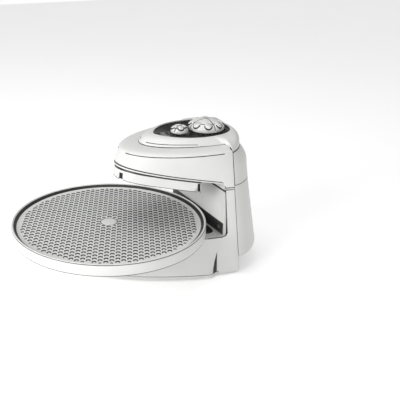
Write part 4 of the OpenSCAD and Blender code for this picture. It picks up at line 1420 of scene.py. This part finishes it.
# ---------------------------------------------------------------- pan
@dataclass(frozen=True)
class Pan:
    """The pan: a white skirt and rim, a black band of painted shade, and a dimpled floor, with more painted
    shade in its dimples, round its hole, under its rim and on its hem.

    Args:
        finishes: the oven's materials.
        floor_z: height of its floor.
        row: direction of the rows of dimples in plan.
        pitch: distance between the dimples along a row.
        field: radius of the dimpled field.
        hole: radius of the hole for the hub.
        sheet: thickness of the sheet.
        dent: radius of a dimple.
        depth: depth of a dimple.
        lip: width of the plain ring round the hole.
        steps: facets round the pan.
        facets: facets round a dimple.
        room: distance from a whole tile's middle to the field's edge, as a share of the pitch.
        edge: least distance from a dimple's rim to the field's edge.
        least: radius of the smallest dimple.
    """

    finishes: Finishes
    floor_z: float = 87.8
    row: tuple = (-0.9135, 0.4067)
    pitch: float = 10.0
    field: float = 146.2
    hole: float = 13.5
    sheet: float = 1.5
    dent: float = 3.95
    depth: float = 1.1
    lip: float = 1.4
    steps: int = 192
    facets: int = 12
    room: float = 0.585
    edge: float = 0.3
    least: float = 1.5

    def tile(self) -> Object:
        """One dimple's hexagon of floor, on the origin, pointing up."""
        corners = [np.array(c) for c in circle(self.pitch / 2 / math.cos(math.pi / 6), 0.0, 6)]
        points = [p for a, b in pairs(corners) for p in (a, (a + b) / 2)]
        for r, z in ((self.dent, 0.0), (self.dent - 0.6, -self.depth * 0.5), (self.dent - 1.6, -self.depth)):
            points += circle(r, z, self.facets)
        points.append((0, 0, -self.depth * 1.06))
        last = len(points) - 1
        rings = [[i * self.facets + k for k in range(self.facets)] for i in range(4)]
        faces = [(a, b, d, c) for upper, lower in zip(rings, rings[1:])
                 for (a, b), (c, d) in zip(pairs(upper), pairs(lower))]
        faces += [(a, b, last) for a, b in pairs(rings[-1])]
        mesh = bpy.data.meshes.new("dimple")
        mesh.from_pydata([tuple(c * MM for c in p) for p in points], [], faces)
        return add_object("dimple", mesh)

    def places(self) -> Iterator[tuple[np.ndarray, float]]:
        """Every place of a dimple in plan, with its distance from the hub's axis."""
        along, across = np.array(self.row), np.array([self.row[1], -self.row[0]])
        step = self.pitch * math.sqrt(3) / 2
        reach = int(self.field / step) + 2
        for i in range(-reach, reach + 1):
            for j in range(-reach, reach + 1):
                p = across * i * step + along * (j + (i % 2) / 2) * self.pitch
                yield p, float(np.hypot(*p))

    def is_whole(self, r: float) -> bool:
        """Whether a whole tile fits at distance r from the hub's axis."""
        room = self.pitch * self.room
        return self.hole + self.lip + room < r < self.field - room

    def edge_dents(self) -> list:
        """Places and radii of the dents that lie too near the hub's or the field's edge for a tile."""
        low, high = self.hole + self.lip + self.edge, self.field - self.edge
        found = []
        for p, r in self.places():
            near, far = max(r - self.dent, low), min(r + self.dent, high)
            size = (far - near) / 2
            if size > self.least and not self.is_whole(r):
                found.append((p * (near + far) / 2 / r, size))
        return found

    def add_dent(self, bm: BMesh, centre: np.ndarray, size: float) -> list:
        """Adds a round dent to the mesh.

        Args:
            bm: the mesh.
            centre: the dent's place in plan.
            size: its radius.

        Returns:
            The edges of its rim.
        """
        rings = []
        for share, down in ((1.0, 0.0), (0.85, 0.5), (0.6, 1.0)):
            ring = circle(size * share, self.floor_z - self.depth * down, self.facets)
            moved = to_frame([(centre[0] + x, centre[1] + y, z) for x, y, z in ring])
            rings.append([bm.verts.new(q) for q in moved])
        for upper, lower in zip(rings, rings[1:]):
            for (a, b), (c, d) in zip(pairs(upper), pairs(lower)):
                bm.faces.new((a, b, d, c))
        bm.faces.new(rings[-1])
        return [bm.edges.get(pair) for pair in pairs(rings[0])]

    def lattice(self) -> Object:
        """The dimpled floor: the tile set on every whole place by Geometry Nodes, then a plain mesh."""
        tile = self.tile()
        points = [(*p, self.floor_z) for p, r in self.places() if self.is_whole(r)]
        holder = add_object("dimple_places", new_mesh("dimple_places", points, []))
        tree = Scatter("dimple_lattice", {"Row turn": "Float", "Tile scale": "Float"},
                       self.finishes.get("pan_coat"))
        info = tree.add("GeometryNodeObjectInfo", {"Object": tile})
        rotation, scale = tree.add("ShaderNodeCombineXYZ"), tree.add("ShaderNodeCombineXYZ")
        tree.feed(("Geometry", tree.points, "Points"), ("Row turn", rotation, "Z"),
                  *(("Tile scale", scale, axis) for axis in "XYZ"))
        tree.join(info, "Geometry", tree.points, "Instance")
        tree.join(rotation, 0, tree.points, "Rotation")
        tree.join(scale, 0, tree.points, "Scale")
        turn = math.atan2(self.row[1], self.row[0]) + math.pi / 6
        tree.apply(holder, {"Row turn": turn, "Tile scale": 1.0})
        bpy.data.objects.remove(tile)
        return holder

    def ring(self, bm: BMesh, radius: float, z: float) -> list:
        """A ring of new vertices at a radius, and at a height over the pan's floor."""
        return [bm.verts.new(q) for q in to_frame(circle(radius, self.floor_z + z, self.steps))]

    def sweep(self, bm: BMesh, start: list, profile: Sequence[tuple]) -> list:
        """Adds the faces of a profile that is turned round the hub's axis.

        Args:
            bm: the mesh.
            start: the ring that it starts from.
            profile: radius, height over the floor and material of each further ring.

        Returns:
            The last ring.
        """
        for radius, z, material in profile:
            ring = self.ring(bm, radius, z)
            self.band(bm, start, ring, material)
            start = ring
        return start

    @staticmethod
    def band(bm: BMesh, inner: list, outer: list, material: int = 0) -> None:
        """Adds the faces between two rings."""
        for (a, b), (c, d) in zip(pairs(inner), pairs(outer)):
            bm.faces.new((a, c, d, b)).material_index = material

    @staticmethod
    def away(co: Vector) -> float:
        """Distance in millimetres of a point of the frame from the hub's axis."""
        return math.hypot(co.x - HUB[0], co.y - HUB[1]) / MM

    def fill(self, bm: BMesh, inner: list, edge: list) -> None:
        """Fills the floor between the tiles, the edge dents and the rings round the field.

        Args:
            bm: the mesh, with the tiles alone.
            inner: the ring round the hub.
            edge: the ring round the field.
        """
        middle = self.field / 2
        border = [e for e in bm.edges if e.is_boundary]
        dents = [(self.away(spot(*c, 0)), self.add_dent(bm, c, r)) for c, r in self.edge_dents()]
        for ring, near in ((inner, True), (edge, False)):
            loop = [bm.edges.new(pair) for pair in pairs(ring)]
            ragged = [e for e in border if (self.away(e.verts[0].co) < middle) == near]
            rims = [e for r, rim in dents for e in rim if (r < middle) == near]
            bmesh.ops.triangle_fill(bm, use_beauty=True, use_dissolve=False, edges=ragged + loop + rims)

    def build(self) -> None:
        """Makes the pan as one piece: dimples, plain ring, band, rim, skirt and underside."""
        floor = self.lattice()
        bm = bmesh.new()
        bm.from_mesh(floor.data)
        bpy.data.objects.remove(floor)
        inner, edge = self.ring(bm, self.hole + self.lip, 0), self.ring(bm, self.field, 0)
        self.fill(bm, inner, edge)
        # painted shade: the dimples' sloping walls take the black material while their bottoms stay light
        for face in bm.faces:
            down = self.floor_z - face.calc_center_median().z / MM
            face.material_index = 1 if 0.1 * self.depth < down < 0.95 * self.depth else 0
        hole = self.ring(bm, self.hole, 0)
        # painted shadow: a thin black ring in the groove round the hole
        groove = self.sweep(bm, hole, ((self.hole + 0.3, -0.4, 1), (self.hole + 1.1, -0.4, 1)))
        self.band(bm, groove, inner, 1)
        last = self.sweep(bm, edge, (
            # floor, and the black band painted on the well's wall as shade
            (150.4, 0, 0), (151.6, 0.75, 0), (154.6, 3.0, 1), (155.1, 3.22, 1), (156.2, 4.6, 1),
            # rim, with a fine line of painted shadow under it
            (157.0, 5.7, 0), (157.5, 6.1, 0), (158.1, 6.2, 0), (158.9, 5.95, 0), (159.55, 5.3, 0),
            (159.9, 4.2, 1), (160.0, 3.4, 0),
            # skirt and its hem darkened as painted shadow
            (160.0, -12.2, 0), (159.7, -13.3, 1), (158.8, -13.3, 1), (158.5, -12.9, 0),
            # inside and underside
            (158.5, 2.6, 0), (157.3, 4.2, 0), (154.6, 1.4, 0), (150.6, -1.4, 0),
            (146.0, -self.sheet, 0), (self.hole, -self.sheet, 0),
        ))
        self.band(bm, last, hole)
        bmesh.ops.recalc_face_normals(bm, faces=bm.faces)
        mesh = bpy.data.meshes.new("pan_dimpled")
        for name in ("pan_coat", "pan_black"):
            mesh.materials.append(self.finishes.get(name))
        bm.to_mesh(mesh)
        bm.free()
        obj = finish_mesh(add_object("pan_dimpled", mesh), 40)
        put(obj, Body.PAN, self.finishes.get("pan_coat"), ["pan"])


# ---------------------------------------------------------------- heating and controls
@dataclass(frozen=True)
class Heating:
    """The reflectors, heaters and shield round the pan.

    Args:
        finishes: the oven's materials.
        outlines: the outlines that the guard follows.
        roof_face: area above which a face that looks down is the guard's roof.
        slot_face: area under which a face that looks along the wall is a slot's side.
        side_gap: distance of the guard's sides from the lip.
        tip_reach: length over which the gap at its tip passes into that.
    """

    finishes: Finishes
    outlines: Outlines
    roof_face: float = 40.0
    slot_face: float = 9.0
    side_gap: float = 5.5
    tip_reach: float = 50.0

    def build(self) -> None:
        """Makes the guard under the head, the tray in the deck and the throat's pieces."""
        self.guard()
        self.slot_shade()
        for node, name, body, finish, slot, angle in (
            # the deck's tray is painted near black as shade under the pan
            ("lower_reflector", "tray", Body.BASE, "heat_tint", "reflector_steel", 30),
            ("upper_element", "upper_rod", Body.BASE, "heater_rod", "heater_rod", 60),
            ("lower_element", "lower_rod", Body.BASE, "heater_rod", "heater_rod", 60),
            # the liner's finish paints its groove dark as shadow
            ("throat_liner", "throat_wall", Body.BASE, "liner_white", "inner_white", 30),
            ("throat_shield", "throat_screen", Body.BASE, "shield_black", "shield_black", 30),
            ("drive_hub", "hub_disc", Body.TURNTABLE, "hub_plastic", "hub_plastic", 30),
        ):
            put(softened(node, name, angle), body, self.finishes.get(finish), [node])

    def guard(self) -> None:
        """The guard under the head, white outside, with its inside, its roof's underside and its slots' sides
        painted near black as shade.
        """
        guard = softened("upper_reflector", "guard", 30)
        for name in ("guard_enamel", "heat_tint"):
            guard.data.materials.append(self.finishes.get(name))
        middle = spot(0, 75, 0)
        for face in guard.data.polygons:
            out = Vector((face.center.x - middle.x, face.center.y - middle.y, 0)).normalized()
            flat = Vector((face.normal.x, face.normal.y, 0))
            facing = flat.normalized().dot(out)
            upright = flat.length > 0.3
            inward = upright and facing < -0.05
            roof = face.normal.z < -0.6 and face.area > self.roof_face * MM * MM
            across = upright and abs(facing) < 0.6 and face.area < self.slot_face * MM * MM
            # painted shade: inward faces, the roof's underside and the slots' sides take the near-black
            # material
            face.material_index = 1 if inward or roof or across else 0
        put(guard, Body.BASE, self.finishes.get("guard_enamel"), ["upper_reflector"])

    def slot_shade(self) -> None:
        """Painted shade behind the guard's slots: a closed dark strip that follows its wall."""
        o, lip = self.outlines, self.outlines.lip
        end = lip.param_at(o.guard_end - 6)

        def half(inset: float, tip_gap: float) -> list:
            """Half outline of the guard.

            Args:
                inset: how far it runs inside the guard's outer face.
                tip_gap: distance of that face from the lip at the tip.

            Returns:
                Its points, from the tip to the rear corner.
            """
            points = []
            for u in (*(end * i / 30 for i in range(30)), end):
                q = lip.at(u)
                gap = mix(tip_gap, self.side_gap, clamp((q[1] - o.head_nose) / self.tip_reach))
                points.append(q - lip.normal(u) * (gap + inset))
            a, rear = points.pop(), o.guard_end - inset
            bend, last = np.array([a[0] + 0.6, rear]), np.array([a[0] - 7, rear])
            return points + [quad(a, bend, last, t) for t in np.linspace(0, 1, 7)]

        points = []
        upper, lower, front, back = (1.0, -4.0), (-1.4, -18.8), 1.6, 2.4
        for inset, (tip_gap, rise) in ((front, upper), (front, lower), (back, lower), (back, upper)):
            right = half(inset, tip_gap)
            ring = [(-p[0], p[1]) for p in right[:0:-1]] + [(p[0], p[1]) for p in right]
            points += [(x, y, o.lip_z(y) + rise) for x, y in ring]
        count = len(points) // 4
        faces = [(i * count + k, i * count + n, j * count + n, j * count + k)
                 for i, j in pairs(range(4)) for k, n in pairs(range(count))]
        mesh = new_mesh("guard_lining", points, faces)
        with editing(mesh) as bm:
            bmesh.ops.recalc_face_normals(bm, faces=bm.faces)
        obj = finish_mesh(add_object("guard_lining", mesh), 40)
        # the strip stands where there is only shade behind the slots
        put(obj, Body.BASE, self.finishes.get("heat_tint"))


@dataclass(frozen=True)
class Controls:
    """The black panel, its printed marks and the two knobs.

    Args:
        finishes: the oven's materials.
        face_z: height of the panel's face.
        lift: height of a mark's middle over it.
        ink: thickness of a mark.
        stroke: least width of a mark.
    """

    finishes: Finishes
    face_z: float = 225.5
    lift: float = 0.05
    ink: float = 0.12
    stroke: float = 0.5

    def build(self) -> None:
        """Makes the panel, its marks and the knobs."""
        for node, name, body, finish, slot, angle in (
            ("control_panel", "panel_dish", Body.BASE, "panel_black", "panel_black", 30),
            ("timer_knob", "timer_dial", Body.TIMER, "timer_white", "knob_white", 28),
            ("selector_knob", "selector_dial", Body.SELECTOR, "selector_white", "knob_white", 28),
        ):
            put(softened(node, name, angle), body, self.finishes.get(finish), [node])
        self.ticks()

    def tick_tree(self) -> Scatter:
        """The node tree that sets bars along an arc."""
        names = ("Radius", "Length", "Width", "Thickness", "Start", "Sweep")
        tree = Scatter("dial_ticks", {**dict.fromkeys(names, "Float"), "Count": "Int"},
                       self.finishes.get("print_white"))
        arc = tree.add("GeometryNodeCurveArc", {"Resolution": 96})
        bar, size = tree.add("GeometryNodeMeshCube"), tree.add("ShaderNodeCombineXYZ")
        steps = tree.add("GeometryNodeCurveToPoints")
        place = tree.add("GeometryNodeInputPosition")
        aim = tree.add("FunctionNodeAlignRotationToVector", axis="Y", pivot_axis="Z")
        tree.feed(("Radius", arc, "Radius"), ("Start", arc, "Start Angle"), ("Sweep", arc, "Sweep Angle"),
                  ("Count", steps, "Count"), ("Width", size, "X"), ("Length", size, "Y"),
                  ("Thickness", size, "Z"))
        for a, out, b, into in (
            (size, 0, bar, "Size"), (arc, "Curve", steps, "Curve"), (place, 0, aim, "Vector"),
            (steps, "Points", tree.points, "Points"), (aim, 0, tree.points, "Rotation"),
            (bar, "Mesh", tree.points, "Instance"),
        ):
            tree.join(a, out, b, into)
        return tree

    def ticks(self) -> None:
        """The printed ticks round each knob and the bars beside the small one, as thin plain meshes."""
        tree = self.tick_tree()
        for name, y, radius, count, length, start, sweep in (
            ("timer_ticks", TIMER_Y, 32.6, 31, 1.0, 100, 340),
            ("selector_ticks", SELECTOR_Y, 17.5, 9, 1.4, 190, 160),
            ("level_bars", SELECTOR_Y, 28.0, 5, 8.0, 250, 40),
        ):
            holder = add_object(name, bpy.data.meshes.new(name))
            tree.apply(holder, {
                "Radius": radius * MM, "Count": count, "Length": length * MM,
                "Width": (self.stroke + length / 8) * MM, "Thickness": self.ink * MM,
                "Start": math.radians(start), "Sweep": math.radians(sweep),
            })
            holder.data.transform(Matrix.Translation(spot(0, y, self.face_z + self.lift)))
            put(holder, Body.BASE, self.finishes.get("print_white"))


@dataclass(frozen=True)
class Works:
    """The fasteners, drive, wiring and inner pieces, which keep their CAD shapes.

    Args:
        finishes: the oven's materials.
    """

    finishes: Finishes

    def build(self) -> None:
        """Gives every CAD node the finish of its record slot."""
        slots = {part["node"]: part["material_slot"] for part in frame["record"]["subparts"]}
        for name, node in frame["nodes"].items():
            if node.hide_render:
                continue
            node.data.materials.clear()
            node.data.materials.append(self.finishes.get(slots[name]))
            LOG.info("%s: finish %s", name, slots[name])


# ---------------------------------------------------------------- studio
@dataclass(frozen=True)
class Studio:
    """Camera, floor, lamps and world.

    Args:
        lens: focal length of the camera in millimetres.
        sensor: width of its sensor in millimetres.
        shift: its shift across and up.
        place: its place.
        view: its direction.
        aim: the point that the lamps look at.
        lamps: name, place, diameter in millimetres and power of each lamp.
        floor: half the width of the floor.
        lift: light that the floor shows to the camera and in reflections.
        sky: light of the world on the object.
    """

    lens: float = 58.56
    sensor: float = 36.0
    shift: tuple = (0.1675, -0.01)
    place: tuple = (910.4, -362.0, 542.3)
    view: tuple = (-0.8431, 0.3754, -0.3851)
    aim: tuple = (0, 90, 100)
    lamps: tuple = (
        ("key", (500, -1500, 760), 1100, 19.0),
        ("fill", (1700, -300, 500), 1200, 5.0),
        ("top", (-300, -200, 1700), 1400, 6.0),
    )
    floor: float = 4000.0
    lift: float = 0.42
    sky: float = 0.42

    def build(self) -> None:
        """Makes the studio."""
        self.make_camera()
        self.make_floor()
        self.make_lamps()
        self.make_world()
        bpy.context.scene.view_settings.view_transform = "Standard"

    @staticmethod
    def stand(name: str, data: ID, place: Vector, view: Vector) -> Object:
        """Sets up a camera or lamp.

        Args:
            name: the object's name.
            data: the camera or lamp.
            place: its place.
            view: its direction.

        Returns:
            The object.
        """
        obj = add_object(name, data)
        obj.location = place
        obj.rotation_euler = view.to_track_quat("-Z", "Y").to_euler()
        return obj

    def make_camera(self) -> None:
        """Places the camera as the photograph's view was measured."""
        data = bpy.data.cameras.new("camera")
        data.lens, data.sensor_width = self.lens, self.sensor
        data.shift_x, data.shift_y = self.shift
        bpy.context.scene.camera = self.stand("camera", data, spot(*self.place), Vector(self.view))

    def make_floor(self) -> None:
        """A large pale floor."""
        far = self.floor
        corners = [(-far, -far, 0), (far, -far, 0), (far, far, 0), (-far, far, 0)]
        mesh = new_mesh("floor", corners, [(0, 1, 2, 3)])
        graph = Graph("floor_paper")
        colour = graph.blend(graph.spread(graph.noise(3.0), 0, 1), (0.93, 0.93, 0.93), (0.95, 0.95, 0.95))
        rough = graph.spread(graph.noise(40.0), 0.8, 0.9)
        graph.paint(colour, rough, graph.bump(graph.noise(900.0), 0.1, 0.02))
        path = graph.add("ShaderNodeLightPath")
        camera, gloss, glass = (path.outputs[f"Is {ray} Ray"] for ray in ("Camera", "Glossy", "Transmission"))
        seen = graph.math("MAXIMUM", graph.math("MAXIMUM", camera, gloss), glass)
        glow = graph.add("ShaderNodeEmission", {"Color": (1, 1, 1, 1)})
        graph.join(graph.math("MULTIPLY", seen, self.lift).node, 0, glow, "Strength")
        both = graph.add("ShaderNodeAddShader")
        graph.join(graph.shader, 0, both, 0)
        graph.join(glow, 0, both, 1)
        graph.join(both, 0, graph.out, "Surface")
        mesh.materials.append(graph.material)
        add_object("floor", mesh)

    def make_lamps(self) -> None:
        """A large soft key from the front left, a weak fill and a weak top lamp."""
        for name, place, size, power in self.lamps:
            data = bpy.data.lights.new(name, "AREA")
            data.shape, data.size, data.energy = "DISK", size * MM, power
            self.stand(name, data, spot(*place), spot(*self.aim) - spot(*place))

    def make_world(self) -> None:
        """A pale world that shows as white to the camera."""
        world = bpy.data.worlds.new("studio")
        world.use_nodes = True
        nodes = Nodes(world.node_tree)
        mixer = nodes.add("ShaderNodeMixShader")
        nodes.join(nodes.add("ShaderNodeLightPath"), "Is Camera Ray", mixer, 0)
        for socket, strength in ((1, self.sky), (2, 1.0)):
            nodes.join(nodes.add("ShaderNodeBackground", {0: (1, 1, 1, 1), 1: strength}), 0, mixer, socket)
        nodes.join(mixer, 0, nodes.add("ShaderNodeOutputWorld"), 0)
        bpy.context.scene.world = world


def main() -> None:
    """Builds the oven's pieces in order, then the studio."""
    finishes, outlines = Finishes(), Outlines()
    Housing(outlines, finishes).build()
    Pan(finishes).build()
    Heating(finishes, outlines).build()
    Controls(finishes).build()
    Works(finishes).build()
    Studio().build()


if __name__ == "__main__":
    main()
